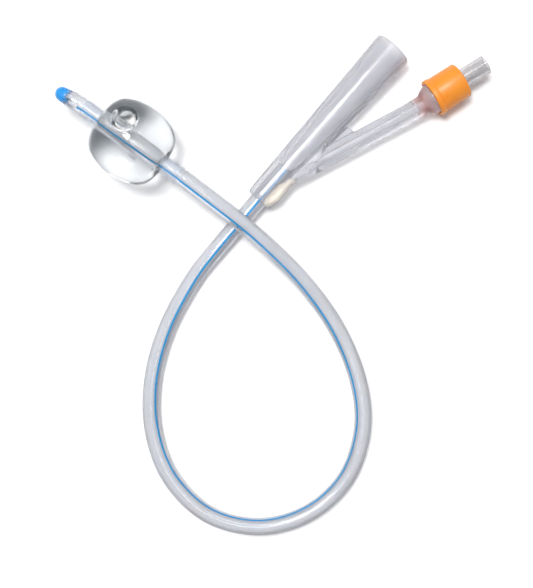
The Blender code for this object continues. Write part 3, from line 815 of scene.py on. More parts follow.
def swept(name: str, points: Sequence[Vector], radius_mm: float, sides: int) -> bpy.types.Object:
    """A bar along points, made as a bevelled curve and turned to a mesh.

    Args:
        name: The piece's name.
        points: The bar's centre line, in metres.
        radius_mm: The bar's radius.
        sides: Sides of the bar.

    Returns:
        The piece.
    """
    curve = bpy.data.curves.new(name, "CURVE")
    curve.dimensions = "3D"
    curve.bevel_depth = radius_mm * MM
    curve.bevel_resolution = max((sides - 4) // 2, 0)
    curve.use_fill_caps = True
    spline = curve.splines.new("POLY")
    spline.points.add(len(points) - 1)
    for knot, point in zip(spline.points, points):
        knot.co = (*point, 1.0)
    piece = bpy.data.objects.new(name, curve)
    bpy.context.scene.collection.objects.link(piece)
    activate(piece)
    bpy.ops.object.convert(target="MESH")
    piece = bpy.context.object
    bpy.ops.object.mode_set(mode="EDIT")
    bpy.ops.mesh.select_all(action="SELECT")
    bpy.ops.mesh.remove_doubles(threshold=MERGE_GAP)
    bpy.ops.mesh.normals_make_consistent(inside=False)
    bpy.ops.object.mode_set(mode="OBJECT")
    return piece


def report(piece: bpy.types.Object) -> None:
    """Logs a finished piece with its size.

    Args:
        piece: The finished piece.
    """
    corners = np.array([vertex.co for vertex in piece.data.vertices]) / MM
    size = corners.max(0) - corners.min(0)
    faces = sum(len(polygon.vertices) - 2 for polygon in piece.data.polygons)
    LOG.info("%s: %.1f x %.1f x %.1f mm, %d triangles", piece.name, *size, faces)


def mount(piece: bpy.types.Object, body: Body, nodes: Sequence[str]) -> None:
    """Makes a piece ride on a body and stand for solids, and logs its size.

    Args:
        piece: The finished piece.
        body: The body that it moves with.
        nodes: The solids that it stands for.
    """
    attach(piece, body.value)
    if nodes:
        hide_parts(*nodes)
    report(piece)


@dataclass
class Balloon:
    """The filled balloon: skin with cuffs, the water in it and the air bubble."""

    radius: float = 12.5
    half_length: float = 11.7
    shoulder: float = 6.3
    roll: float = 1.8
    wall: float = 0.4
    flat: float = 0.15
    neck: float = 3.2
    bore: float = 2.7
    cuff_length: float = 8.0
    feather: float = 0.2
    tip_swell: float = 0.25
    bubble_radius: float = 3.9
    bubble_place: Point = (4.2, -3.7, 7.6)
    bubble_height: float = 0.8
    bubble_rings: tuple[int, int] = (48, 32)
    water_gap: float = 0.05
    water_core: float = 0.4
    cuff_band: float = 0.6
    foot_slack: float = 0.01
    segments: int = 96
    steps: tuple[int, int, int] = (10, 16, 8)

    def cuff_end(self) -> float:
        """Where a cuff ends, from the balloon's middle."""
        return self.half_length - self.roll + self.cuff_length

    def outline(self, inset: float) -> list[tuple[float, float]]:
        """Half of the balloon's outline, moved inwards, from crown to rolled-in end.

        Args:
            inset: How far the outline is moved inwards.

        Returns:
            Points as (along, radius).
        """
        shoulder_at = self.half_length - self.shoulder
        roll_at = self.half_length - self.roll
        height = self.neck + self.roll
        rise = self.radius - height
        crown = (shoulder_at**2 + rise**2 - self.shoulder**2) / (2 * (rise - self.shoulder))
        middle = self.radius - crown
        meet = math.atan2(height - middle, shoulder_at)
        quarter = math.pi / 2
        crown_steps, shoulder_steps, roll_steps = self.steps
        return [
            *arc((0.0, middle), crown - inset, quarter, meet, crown_steps),
            *arc((shoulder_at, height), self.shoulder - inset, meet, 0.0, shoulder_steps),
            *arc((roll_at, height), self.roll - inset, 0.0, -quarter, roll_steps),
            (roll_at, height - (self.roll - inset)),
        ]

    def lie_flat(self, piece: bpy.types.Object, inset: float) -> None:
        """Flattens a shape where it lies on the table.

        Args:
            piece: The skin or the water, in its place.
            inset: How far the shape is inside the balloon's outline.
        """
        floor = (self.flat + inset) * MM - self.flat * MM
        for vertex in piece.data.vertices:
            vertex.co.z = max(vertex.co.z, floor)

    def build_skin(self) -> bpy.types.Object:
        """The thin sleeve, and its cuffs as a second material.

        Returns:
            The skin.
        """
        half = self.outline(0.0)
        edge = [(self.cuff_end(), self.bore + self.feather)]
        outer = [*[(-a, r) for a, r in reversed([*half[1:], *edge])], *half]
        outer += [(self.half_length + self.wall, self.neck + self.tip_swell), *edge]
        foot = self.half_length - self.roll - 2 * self.wall
        inner = [*self.outline(self.wall), (foot, self.neck + self.wall), (foot, self.bore)]
        inside = [*[(-a, r) for a, r in reversed(inner[1:])], *inner]
        profile = [*outer, (self.cuff_end(), self.bore), *reversed(inside)]
        profile.append((-self.cuff_end(), self.bore))
        skin = turned("balloon_skin", profile, BALLOON_SEAT, self.segments)
        self.lie_flat(skin, 0.0)
        smooth(skin)
        dress(skin, SKIN_SILICONE.build(), CUFF_SILICONE.build())
        seat = BALLOON_SEAT.matrix().inverted()
        for polygon in skin.data.polygons:
            own = seat @ polygon.center / MM
            reach = math.hypot(own.y, own.z)
            if reach < self.neck + self.cuff_band and abs(own.x) > foot - self.foot_slack:
                polygon.material_index = 1
        return skin

    def build_water(self) -> bpy.types.Object:
        """The water: the skin's inside as one clear solid, with the bubble cut out.

        Returns:
            The water.
        """
        clear = self.wall + self.water_gap
        foot = self.half_length - self.roll - 2 * self.wall
        half = [*self.outline(clear), (foot, self.neck + clear), (foot, self.water_core)]
        profile = [*[(-a, r) for a, r in reversed(half[1:])], *half]
        water = turned("balloon_water", profile, BALLOON_SEAT, self.segments, solid=True)
        self.lie_flat(water, clear)
        deselect()
        segments, rings = self.bubble_rings
        bpy.ops.mesh.primitive_uv_sphere_add(
            segments=segments, ring_count=rings, radius=self.bubble_radius * MM
        )
        bubble = bpy.context.object
        bubble.location = BALLOON_SEAT.point(*self.bubble_place)
        bubble.scale.z = self.bubble_height
        combine(water, bubble, Join.CUT)
        smooth(water)
        return dress(water, WATER.build())

    def build(self) -> list[bpy.types.Object]:
        """Builds, dresses and mounts the balloon's pieces.

        Returns:
            The skin and the water.
        """
        skin, water = self.build_skin(), self.build_water()
        mount(skin, Body.CATHETER, ["balloon"])
        mount(water, Body.CATHETER, ["water_fill"])
        return [skin, water]


@dataclass
class Shaft:
    """The extruded tube on its route, its blue line, lumens and drainage eyes, and its tip."""

    radius: float = 16 / 6
    recess: float = 2.4
    tip_length: float = 3.4
    tip_root: float = 2.3
    tip_dome: float = 2.2
    dome_end_rad: float = 0.05
    dome_steps: int = 14
    tip_pole: float = 0.06
    tip_sides: int = 64
    skirt: Profile = ((-0.9, 0.02), (-0.3, 0.05), (0.35, 0.03))
    skirt_end: float = 0.2
    # Each wave's height, how many there are round the rim, and its shift in radians
    skirt_waves: Sequence[tuple[float, int, float]] = ((0.35, 5, 0.0), (0.15, 9, 1.0))
    taper: float = 2.8
    taper_rings: int = 8
    cuff_gap: float = 0.3
    recess_step: float = 0.8
    recess_rings: int = 28
    line_half_width: float = 0.31
    drain_radius: float = 1.4
    drain_offset: float = 0.45
    fill_radius: float = 0.3
    fill_offset: float = 1.75
    fill_turn: float = 80.0
    lumen_sides: tuple[int, int] = (24, 10)
    lumen_step: float = 2.6
    overrun: float = 2.0
    eye: tuple[float, float] = (4.5, 2.2)
    eye_depth: float = 6.0
    eye_sides: int = 48
    eyes_from_nose: tuple[float, float] = (6.3, 7.4)
    eye_turns: tuple[float, float] = (0.0, 180.0)
    socket: float = 12.8
    nose: tuple[float, float] = (-43.364, 47.622)
    step: float = 1.3
    sides: int = 50
    start_line: float = 10.0
    end_line: float = 30.0
    route: Sequence[tuple[float, float, float, float]] = (
        (-36.414, -20.278, 4.00, 12),
        (-45.914, -20.428, 3.60, 14),
        (-58.214, -21.178, 3.05, 19),
        (-76.614, -25.628, 2.70, 26),
        (-91.714, -33.428, 2.67, 32),
        (-102.914, -44.028, 2.67, 42),
        (-109.914, -57.628, 2.67, 50),
        (-110.514, -74.028, 2.67, 57),
        (-102.514, -88.628, 2.67, 57),
        (-88.914, -97.128, 2.67, 57),
        (-73.014, -98.428, 2.67, 55),
        (-58.114, -91.828, 2.67, 50),
        (-48.114, -81.028, 2.70, 44),
        (-40.314, -65.028, 3.20, 36),
        (-36.514, -48.028, 5.00, 32),
        (-35.614, -33.728, 7.70, 30),
        (-35.814, -21.228, 9.85, 30),
        (-36.764, -8.928, 11.70, 30),
    )
    curve: np.ndarray = field(init=False)
    along: np.ndarray = field(init=False)
    materials: list[bpy.types.Material] = field(default_factory=list)

    def __post_init__(self) -> None:
        """Works out the centre line from the route."""
        cuff = Balloon().cuff_end()
        inside = [
            (*(HUB_SEAT.point(depth) / MM), self.start_line)
            for depth in (self.socket, self.socket / 2, 0.0)
        ]
        straight = [
            (*(BALLOON_SEAT.point(cuff * share) / MM), self.end_line)
            for share in (-1.0, -0.5, 0.0, 0.5, 1.0)
        ]
        end = (*self.nose, BALLOON_SEAT.origin_mm[2], self.end_line)
        knots = [np.array(p, float) for p in (*inside, *self.route, *straight, end)]
        self.curve = self.smooth_curve(knots)
        steps = np.linalg.norm(np.diff(self.curve[:, :3], axis=0), axis=1)
        self.along = np.concatenate([[0.0], np.cumsum(steps)])

    @staticmethod
    def smooth_curve(knots: list[np.ndarray], steps: int = 24) -> np.ndarray:
        """Close points on the centripetal curve through the route's points.

        Args:
            knots: The route's points, each with the blue line's angle.
            steps: Points between two knots.

        Returns:
            One row for each point: x, y and z in millimetres, and the angle.
        """
        ends = [2 * knots[0] - knots[1], *knots, 2 * knots[-1] - knots[-2]]
        points = []
        for four in zip(ends, ends[1:], ends[2:], ends[3:]):
            times = [0.0]
            for a, b in zip(four, four[1:]):
                times.append(times[-1] + math.sqrt(np.linalg.norm(b[:3] - a[:3])))
            for i in range(steps):
                at = times[1] + (times[2] - times[1]) * i / steps
                row, span = list(four), 1
                while len(row) > 1:
                    row = [
                        ((times[j + span] - at) * row[j] + (at - times[j]) * row[j + 1])
                        / (times[j + span] - times[j])
                        if span < 3
                        else ((times[2] - at) * row[0] + (at - times[1]) * row[1])
                        / (times[2] - times[1])
                        for j in range(len(row) - 1)
                    ]
                    span += 1
                points.append(row[0])
        return np.array([*points, knots[-1]])

    def length(self) -> float:
        """The centre line's length from the socket to the nose."""
        return float(self.along[-1])

    def at(self, distance: float) -> tuple[Vector, Vector, Vector, Vector, float]:
        """Centre, forward, side, up and line angle at a distance along the shaft.

        Args:
            distance: Millimetres from the shaft's end in the socket.

        Returns:
            The centre in millimetres, three unit vectors and the angle in degrees.
        """
        reach = 0.5
        low = min(max(distance, reach), self.length() - reach)

        def sample(where: float) -> np.ndarray:
            """The curve's row at a distance along it."""
            return np.array([np.interp(where, self.along, self.curve[:, i]) for i in range(4)])

        here = sample(distance)
        forward = Vector(sample(low + reach)[:3] - sample(low - reach)[:3]).normalized()
        side = Vector((0.0, 0.0, 1.0)).cross(forward).normalized()
        return Vector(here[:3]), forward, side, forward.cross(side), float(here[3])

    def rim_point(self, distance: float, turn: float, radius: float) -> Vector:
        """A point beside the centre line, turned round it from the blue line.

        Args:
            distance: Millimetres along the shaft.
            turn: Degrees from the blue line.
            radius: Millimetres from the centre line.

        Returns:
            The point, in metres.
        """
        centre, _, side, up, line = self.at(distance)
        angle = math.radians(line + turn)
        return (centre + radius * (math.cos(angle) * up + math.sin(angle) * side)) * MM

    def stations(self) -> list[tuple[float, float]]:
        """Distances along the shaft with its radius there.

        Returns:
            Pairs of distance and radius, narrower from cuff to cuff and at the tip.
        """
        nose = self.length()
        end = nose - self.tip_length
        cuff_far = Balloon().cuff_end() + self.cuff_gap
        middle = nose - (self.nose_gap() + Balloon().cuff_end())
        far, near = middle - cuff_far, middle + cuff_far
        full = far - self.recess_step
        count = round(full / self.step)
        rows = [(i / count * full, self.radius) for i in range(count + 1)]
        rings = self.recess_rings
        rows += [(far + (near - far) * i / rings, self.recess) for i in range(rings + 1)]
        rows.append((near + self.recess_step, self.radius))
        for i in range(self.taper_rings + 1):
            share = i / self.taper_rings
            radius = self.tip_root + (self.radius - self.tip_root) * (1 - share**2)
            rows.append((end - self.taper * (1 - share), radius))
        return rows

    def nose_gap(self) -> float:
        """Length between the tip cuff's end and the nose."""
        cuff = BALLOON_SEAT.point(Balloon().cuff_end()) / MM
        return (Vector((*self.nose, BALLOON_SEAT.origin_mm[2])) - cuff).length

    def build_wall(self) -> bpy.types.Object:
        """Sweeps the outer wall, with the blue line as a column of its faces.

        Returns:
            The wall, solid as yet.
        """
        half = math.degrees(self.line_half_width / self.radius)
        rest = (360 - 2 * half) / self.sides
        turns = [-half, 0.0] + [half + rest * i for i in range(self.sides)]
        mesh = bpy.data.meshes.new("shaft_tube")
        bm = bmesh.new()
        rings = [
            [bm.verts.new(self.rim_point(distance, turn, radius)) for turn in turns]
            for distance, radius in self.stations()
        ]
        for before, after in zip(rings, rings[1:]):
            for i in range(len(turns)):
                j = (i + 1) % len(turns)
                face = bm.faces.new((before[i], after[i], after[j], before[j]))
                face.material_index = 1 if i < 2 else 0
        bm.faces.new(rings[0])
        bm.faces.new(list(reversed(rings[-1])))
        bmesh.ops.recalc_face_normals(bm, faces=bm.faces)
        bm.to_mesh(mesh)
        bm.free()
        wall = bpy.data.objects.new("shaft_tube", mesh)
        bpy.context.scene.collection.objects.link(wall)
        for material in self.walls():
            mesh.materials.append(material)
        return wall

    def walls(self) -> list[bpy.types.Material]:
        """The tube's three finishes: its outside, the blue line and the channels.

        Returns:
            The materials, in the order of the faces' numbers.
        """
        if not self.materials:
            finishes = (SHAFT_SILICONE, LINE_SILICONE, CHANNEL_SILICONE)
            self.materials = [finish.build() for finish in finishes]
        return self.materials

    def cut_lumen(self, wall: bpy.types.Object, offset: float, radius: float, sides: int) -> None:
        """Cuts one of the two channels along the whole shaft.

        Args:
            wall: The tube.
            offset: Millimetres from the centre line, towards the side of the fill channel.
            radius: The channel's radius.
            sides: Sides of the channel.
        """
        end = self.length() - self.tip_length
        count = round(end / self.lumen_step)
        points = [self.rim_point(i / count * end, self.fill_turn, offset) for i in range(count + 1)]
        before, after = points[0] - points[1], points[-1] - points[-2]
        points.insert(0, points[0] + before.normalized() * self.overrun * MM)
        points.append(points[-1] + after.normalized() * self.overrun * MM)
        channel = dress(swept("channel", points, radius, sides), *self.walls())
        number_faces(channel, 2)
        combine(wall, channel, Join.CUT)

    def cut_eye(self, wall: bpy.types.Object, from_nose: float, turn: float) -> None:
        """Cuts one drainage eye, a long round hole through the wall.

        Args:
            wall: The tube.
            from_nose: Millimetres from the nose to the eye's middle.
            turn: Degrees from the blue line.
        """
        length, width = self.eye
        centre, forward, side, up, line = self.at(self.length() - from_nose)
        angle = math.radians(line + turn)
        outward = math.cos(angle) * up + math.sin(angle) * side
        deselect()
        bpy.ops.mesh.primitive_cylinder_add(
            vertices=self.eye_sides,
            radius=width / 2 * MM,
            depth=self.eye_depth * MM,
            location=(0.0, 0.0, self.eye_depth / 2 * MM),
        )
        hole = bpy.context.object
        bpy.ops.object.transform_apply(location=True, rotation=False, scale=False)
        bpy.ops.object.mode_set(mode="EDIT")
        bpy.ops.mesh.select_all(action="SELECT")
        bpy.ops.transform.resize(value=(length / width, 1.0, 1.0), center_override=(0, 0, 0))
        bpy.ops.object.mode_set(mode="OBJECT")
        axes = Matrix((forward, outward.cross(forward), outward)).transposed().to_4x4()
        settle(hole, Matrix.Translation(centre * MM) @ axes)
        combine(wall, dress(hole, *self.walls()), Join.CUT)

    def build_tip(self) -> bpy.types.Object:
        """The blue bullet nose, with a waved skirt on the tube's end.

        Returns:
            The tip.
        """
        barrel = self.tip_length - self.tip_dome
        quarter = math.pi / 2
        dome = arc((barrel, 0.0), self.tip_dome, quarter, self.dome_end_rad, self.dome_steps)
        skirt = [(along, self.tip_root + proud) for along, proud in self.skirt]
        profile = [*skirt, *dome, (self.tip_length, self.tip_pole)]
        centre, forward, _, _, _ = self.at(self.length() - self.tip_length)
        seat = Seat(tuple(centre), tuple(forward))
        tip = turned("tip_nose", profile, None, self.tip_sides, solid=True)
        for vertex in tip.data.vertices:
            if vertex.co.x < self.skirt_end * MM:
                turn = math.atan2(vertex.co.z, vertex.co.y)
                waves = [
                    height * math.sin(count * turn + shift)
                    for height, count, shift in self.skirt_waves
                ]
                vertex.co.x += sum(waves) * MM
        settle(tip, seat.matrix())
        smooth(tip)
        return dress(tip, TIP_SILICONE.build())

    def build(self, carried: Sequence[bpy.types.Object]) -> bpy.types.Object:
        """Args:
            carried: The balloon's pieces, which the shaft carries. Not used.

        Returns:
            The tube.
        """
        wall = self.build_wall()
        drain_sides, fill_sides = self.lumen_sides
        self.cut_lumen(wall, -self.drain_offset, self.drain_radius, drain_sides)
        self.cut_lumen(wall, self.fill_offset, self.fill_radius, fill_sides)
        for from_nose, turn in zip(self.eyes_from_nose, self.eye_turns):
            self.cut_eye(wall, from_nose, turn)
        smooth(wall)
        mount(wall, Body.CATHETER, ["shaft"])
        tip = self.build_tip()
        mount(tip, Body.CATHETER, ["tip"])
        (self.length() - self.tip_length) * MM
        [tuple(self.at(distance)[0] * MM) for distance, _ in self.stations()]
        return wall


@dataclass
class Hub:
    """The Y piece, moulded in one: funnel, inflation arm, block, web and valve cup."""

    length: float = 63.0
    mouth: float = 6.2
    shoulder: float = 4.4
    shoulder_at: float = 2.4
    entry: float = 16 / 6 + 0.3 + 0.65
    shoulder_steps: int = 8
    rim_round: float = 0.6
    socket: float = 16 / 6 + 0.3
    socket_depth: float = 13.1
    throat: float = 2.4
    throat_at: float = 17.0
    wall: float = 1.2
    arm_root: float = 4.4
    arm_angle: float = 19.9
    valve_angle: float = 15.7
    arm_start: float = 8.0
    arm_sink: tuple[float, float] = (0.7, 16.0)
    arm_straight: float = 47.15
    arm_bend: float = 8.0
    arm_radius: float = 3.05
    arm_overlap: float = 1.0
    arm_sides: int = 40
    bend_steps: int = 5
    lumen: float = 0.9
    lumen_start: float = 6.8
    drain: float = 1.4
    overrun: float = 2.0
    bulb: Profile = ((-0.6, 2.9), (0.6, 3.75), (2.1, 4.65))
    cup: float = 4.95
    cup_start: float = 3.4
    cup_length: float = 10.8
    cup_round: float = 0.25
    cup_floor: Profile = ((0.4, 0.72), (1.3, 1.0))
    cup_floor_end: float = 3.6
    cup_bore: float = 4.25
    segments: tuple[int, int, int] = (96, 72, 64)
    block_half_height: float = 3.6
    block_round: float = 0.8
    block: Profile = (
        (-0.3, 1.0),
        (-0.3, 2.75),
        (0.4, 3.55),
        (2.3, 4.5),
        (3.9, 4.95),
        (10.3, 4.6),
        (11.5, 4.95),
        (16.4, 7.0),
        (27.0, 4.7),
        (27.0, 1.0),
    )
    web: tuple[float, float, float] = (22.0, 35.5, 0.5)
    edge_steps: int = 3
    voxel: float = 0.3
    softening: tuple[float, int] = (0.5, 6)
    sharp: float = 40.0
    socket_margin: float = 0.1

    def barrel(self) -> bpy.types.Object:
        """The funnel's outside: a rounded shoulder and a straight taper to the mouth.

        Returns:
            The funnel, solid as yet.
        """
        rise = self.shoulder - self.entry
        steps = self.shoulder_steps
        turns = [i / steps * math.pi / 2 for i in range(steps + 1)]
        start = [
            (self.shoulder_at * (1 - math.cos(t)), self.entry + rise * math.sin(t)) for t in turns
        ]
        rim = rounded((self.length, self.mouth), self.rim_round, -1)
        return turned("hub_moulding", [*start, *rim], HUB_SEAT, self.segments[0], solid=True)

    def arm_line(self, first: float) -> list[tuple[float, float]]:
        """The arm's centre line, bent a little at its end.

        Args:
            first: Where the line starts, from the arm's root.

        Returns:
            Points as (along, aside).
        """
        heading = math.radians(self.arm_angle)
        points = [
            (self.arm_root + reach * math.cos(heading), reach * math.sin(heading))
            for reach in (first, self.arm_sink[1], self.arm_straight)
        ]
        steps = self.bend_steps
        for i in range(steps):
            turned_by = (i + 0.5) / steps * (self.arm_angle - self.valve_angle)
            heading = math.radians(self.arm_angle - turned_by)
            reach = self.arm_bend / steps
            along, aside = points[-1]
            points.append((along + reach * math.cos(heading), aside + reach * math.sin(heading)))
        return points

    def arm(
        self, name: str, first: float, sink: float, radius: float, over: float
    ) -> bpy.types.Object:
        """A round bar along the arm.

        Args:
            name: The bar's name.
            first: Where it starts, from the arm's root.
            sink: How far its start is moved towards the funnel's axis.
            radius: Its radius.
            over: How far it runs on past the arm's end.

        Returns:
            The bar.
        """
        points = self.arm_line(first)
        points[0] = (points[0][0], points[0][1] - sink)
        heading = math.radians(self.valve_angle)
        last = points[-1]
        points.append((last[0] + over * math.cos(heading), last[1] + over * math.sin(heading)))
        places = [HUB_SEAT.point(along, -aside) for along, aside in points]
        return swept(name, places, radius, self.arm_sides)

    def plate(
        self, name: str, outline: Profile, half_height: float, edge: float
    ) -> bpy.types.Object:
        """A flat plate in the hub's plane, with rounded edges.

        Args:
            name: The plate's name.
            outline: Its corners as (along, aside).
            half_height: Half of its height.
            edge: The radius of its edges, or 0 for sharp ones.

        Returns:
            The plate.
        """
        deselect()
        bpy.ops.mesh.primitive_circle_add(vertices=len(outline), radius=MM, fill_type="NGON")
        piece = bpy.context.object
        piece.name = name
        for vertex, (along, aside) in zip(piece.data.vertices, outline):
            vertex.co = (along * MM, -aside * MM, -half_height * MM)
        bpy.ops.object.mode_set(mode="EDIT")
        bpy.ops.mesh.select_all(action="SELECT")
        bpy.ops.mesh.extrude_region_move(
            TRANSFORM_OT_translate={"value": (0.0, 0.0, 2 * half_height * MM)}
        )
        bpy.ops.mesh.select_all(action="SELECT")
        bpy.ops.mesh.normals_make_consistent(inside=False)
        bpy.ops.object.mode_set(mode="OBJECT")
        if edge:
            bevel = piece.modifiers.new("edge", "BEVEL")
            bevel.width = edge * MM
            bevel.segments = self.edge_steps
            apply_all(piece)
        return settle(piece, HUB_SEAT.matrix())

    def cup_outside(self) -> bpy.types.Object:
        """The bulb and the cup, round the valve's axis.

        Returns:
            The cup, solid as yet.
        """
        rim = rounded((self.cup_length, self.cup), self.cup_round, -1)
        profile = [*self.bulb, (self.cup_start, self.cup), *rim]
        return turned("hub_cup", profile, VALVE_SEAT, self.segments[1], solid=True)

    def clear_socket(self, cutter: bpy.types.Object) -> None:
        """Leaves the bonded socket as clear as the outside, so that the line shows in it.

        Args:
            cutter: The funnel's bore.
        """
        origin, axis = Vector(HUB_SEAT.origin_mm) * MM, Vector(HUB_SEAT.along).normalized()
        for polygon in cutter.data.polygons:
            along = (cutter.matrix_world @ polygon.center - origin).dot(axis)
            if along < (self.socket_depth + self.socket_margin) * MM:
                polygon.material_index = 0

    def bores(self) -> list[bpy.types.Object]:
        """Cutters for the funnel, the arm's channel and the cup.

        Returns:
            The cutters, in the order that they cut in.
        """
        slope = (self.mouth - self.wall - self.throat) / (self.length - self.throat_at)
        funnel = [
            (-self.overrun, self.socket),
            (self.socket_depth, self.socket),
            (self.socket_depth, self.drain),
            (self.throat_at, self.throat),
            (self.length + self.overrun, self.mouth - self.wall + slope * self.overrun),
        ]
        cup = [
            *self.cup_floor,
            (self.cup_floor_end, self.cup_bore),
            (self.cup_length + self.overrun, self.cup_bore),
        ]
        return [
            turned("funnel_bore", funnel, HUB_SEAT, self.segments[1], solid=True),
            turned("cup_bore", cup, VALVE_SEAT, self.segments[2], solid=True),
            self.arm("arm_bore", self.lumen_start, 0.0, self.lumen, self.overrun),
        ]

    def build(self) -> bpy.types.Object:
        """Joins the outside, softens its fillets, cuts the bores and mounts the hub.

        Returns:
            The hub.
        """
        hub = self.barrel()
        start, end, half = self.web
        slope = math.tan(math.radians(self.arm_angle))
        fork = (
            (start, self.shoulder / 2),
            (end, self.shoulder),
            (end, (end - self.arm_root) * slope),
            (start, (start - self.arm_root) * slope),
        )
        sink, _ = self.arm_sink
        for shape in (
            self.arm("hub_arm", self.arm_start, sink, self.arm_radius, self.arm_overlap),
            self.cup_outside(),
            self.plate("hub_block", self.block, self.block_half_height, self.block_round),
            self.plate("hub_web", fork, half, 0.0),
        ):
            combine(hub, shape, Join.ADD)
        remesh = hub.modifiers.new("fillets", "REMESH")
        remesh.mode = "VOXEL"
        remesh.voxel_size = self.voxel * MM
        soften = hub.modifiers.new("soften", "SMOOTH")
        soften.factor, soften.iterations = self.softening
        apply_all(hub)
        materials = (HUB_SILICONE.build(), BORE_SILICONE.build())
        dress(hub, *materials)
        number_faces(hub, 0)
        for cutter in self.bores():
            dress(cutter, *materials)
            number_faces(cutter, 1)
            if cutter.name.startswith("funnel_bore"):
                self.clear_socket(cutter)
            combine(hub, cutter, Join.CUT)
        smooth(hub, self.sharp)
        mount(hub, Body.CATHETER, ["hub"])
        return hub


@dataclass
class Valve:
    """The sprung check valve in the hub's cup, its luer port and its colour sleeve."""

    body: float = 3.95
    chamber: float = 3.1
    start: float = 5.7
    chamber_end: float = 11.9
    seat: float = 1.2
    throat: float = 1.35
    flange: tuple[float, float] = (11.1, 12.6)
    flange_radius: float = 4.95
    luer: float = 3.05
    luer_bore: float = 2.15
    luer_taper: float = 0.03
    rim: float = 22.7
    rim_round: float = 0.2
    fit: float = 0.3
    lip_start: float = 3.0
    lip: float = 6.05
    lip_length: float = 1.9
    lip_rounds: tuple[float, float] = (0.35, 0.2)
    lip_back: float = 0.1
    groove: float = 0.3
    sleeve_top: float = 13.9
    top_round: float = 0.45
    top_wall: float = 1.0
    sleeve_radius: float = 5.7
    sleeve_bore: float = 5.25
    segments: tuple[int, int] = (64, 96)
    spring_radius: float = 1.7
    wire: float = 0.17
    wire_sides: int = 12
    wire_sharp: float = 60.0
    turns: float = 4.5
    turn_steps: int = 28
    spring_span: tuple[float, float] = (5.7, 9.6)
    travel: float = 1.8

    def build_body(self) -> bpy.types.Object:
        """The clear housing: skirt, flange, seat and luer port.

        Returns:
            The housing.
        """
        first, last = self.flange
        bore_start = self.chamber_end + self.seat
        root = self.luer_bore - self.luer_taper * (self.rim - bore_start)
        profile = [
            (self.start, self.chamber),
            (self.start, self.body),
            (first, self.body),
            (first, self.flange_radius),
            (last, self.flange_radius),
            (last, self.luer),
            *rounded((self.rim, self.luer), self.rim_round, -1),
            (self.rim, self.luer_bore),
            (bore_start, root),
            (bore_start, self.throat),
            (self.chamber_end, self.throat),
            (self.chamber_end, self.chamber),
        ]
        piece = smooth(turned("valve_housing", profile, VALVE_SEAT, self.segments[0]))
        dress(piece, VALVE_PLASTIC.build())
        mount(piece, Body.CATHETER, ["valve_body"])
        return piece

    def build_sleeve(self) -> bpy.types.Object:
        """The orange sleeve: lip, groove and tapered wall, closed in round the port.

        Returns:
            The sleeve.
        """
        lip_end = self.lip_start + self.lip_length
        first_round, last_round = self.lip_rounds
        waist = self.lip - self.groove
        hole = self.luer + self.fit
        under_top = self.sleeve_top - self.top_wall
        profile = [
            (self.lip_start, self.sleeve_bore),
            *rounded((self.lip_start, self.lip), first_round, 1),
            *rounded((lip_end - self.lip_back, self.lip), last_round, -1),
            (lip_end, waist - self.groove / 2),
            (lip_end + self.groove, waist),
            *rounded((self.sleeve_top, self.sleeve_radius), self.top_round, -1),
            (self.sleeve_top, hole),
            (under_top, hole),
            (under_top, self.sleeve_bore),
        ]
        piece = smooth(turned("size_code_sleeve", profile, VALVE_SEAT, self.segments[1]))
        dress(piece, SLEEVE_SILICONE.build())
        mount(piece, Body.CATHETER, ["colour_sleeve"])
        return piece

    def build_spring(self) -> bpy.types.Object:
        """The steel spring's coil, at rest; in the valve it shortens as the plunger goes in.

        Returns:
            The coil.
        """
        first, last = self.spring_span
        count = round(self.turns * self.turn_steps)
        points = []
        for i in range(count + 1):
            share = i / count
            turn = share * self.turns * math.tau
            along = first + self.wire + (last - first - 2 * self.wire) * share
            side, up = self.spring_radius * math.cos(turn), self.spring_radius * math.sin(turn)
            points.append(VALVE_SEAT.point(along, side, up))
        piece = smooth(swept("valve_coil", points, self.wire, self.wire_sides), self.wire_sharp)
        dress(piece, SPRING_STEEL.build())
        mount(piece, Body.CATHETER, ["valve_spring"])
        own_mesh(piece)
        return piece

    def dress_solids(self) -> None:
        """Gives the solids that stay as they are their own finishes."""
        for name, finish, body in (
            ("valve_base", VALVE_PLASTIC, Body.CATHETER),
            ("valve_stem", STEM_PLASTIC, Body.PLUNGER),
            ("valve_seal", SEAL_RUBBER, Body.PLUNGER),
        ):
            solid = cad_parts[name]
            material = finish.build()
            if solid.material_slots:
                solid.material_slots[0].material = material
            else:
                solid.data.materials.append(material)
            LOG.info("%s: dressed in %s, on the %s", name, finish.name, body.value)

    def build(self) -> None:
        """Builds the valve's pieces."""
        self.build_body()
        self.build_sleeve()
        self.build_spring()
        self.dress_solids()


@dataclass(frozen=True)
class Lamp:
    """A soft lamp that points at the middle of the picture, and its place from there."""

    name: str
    offset_m: Point
    size_m: tuple[float, float]
    energy: float


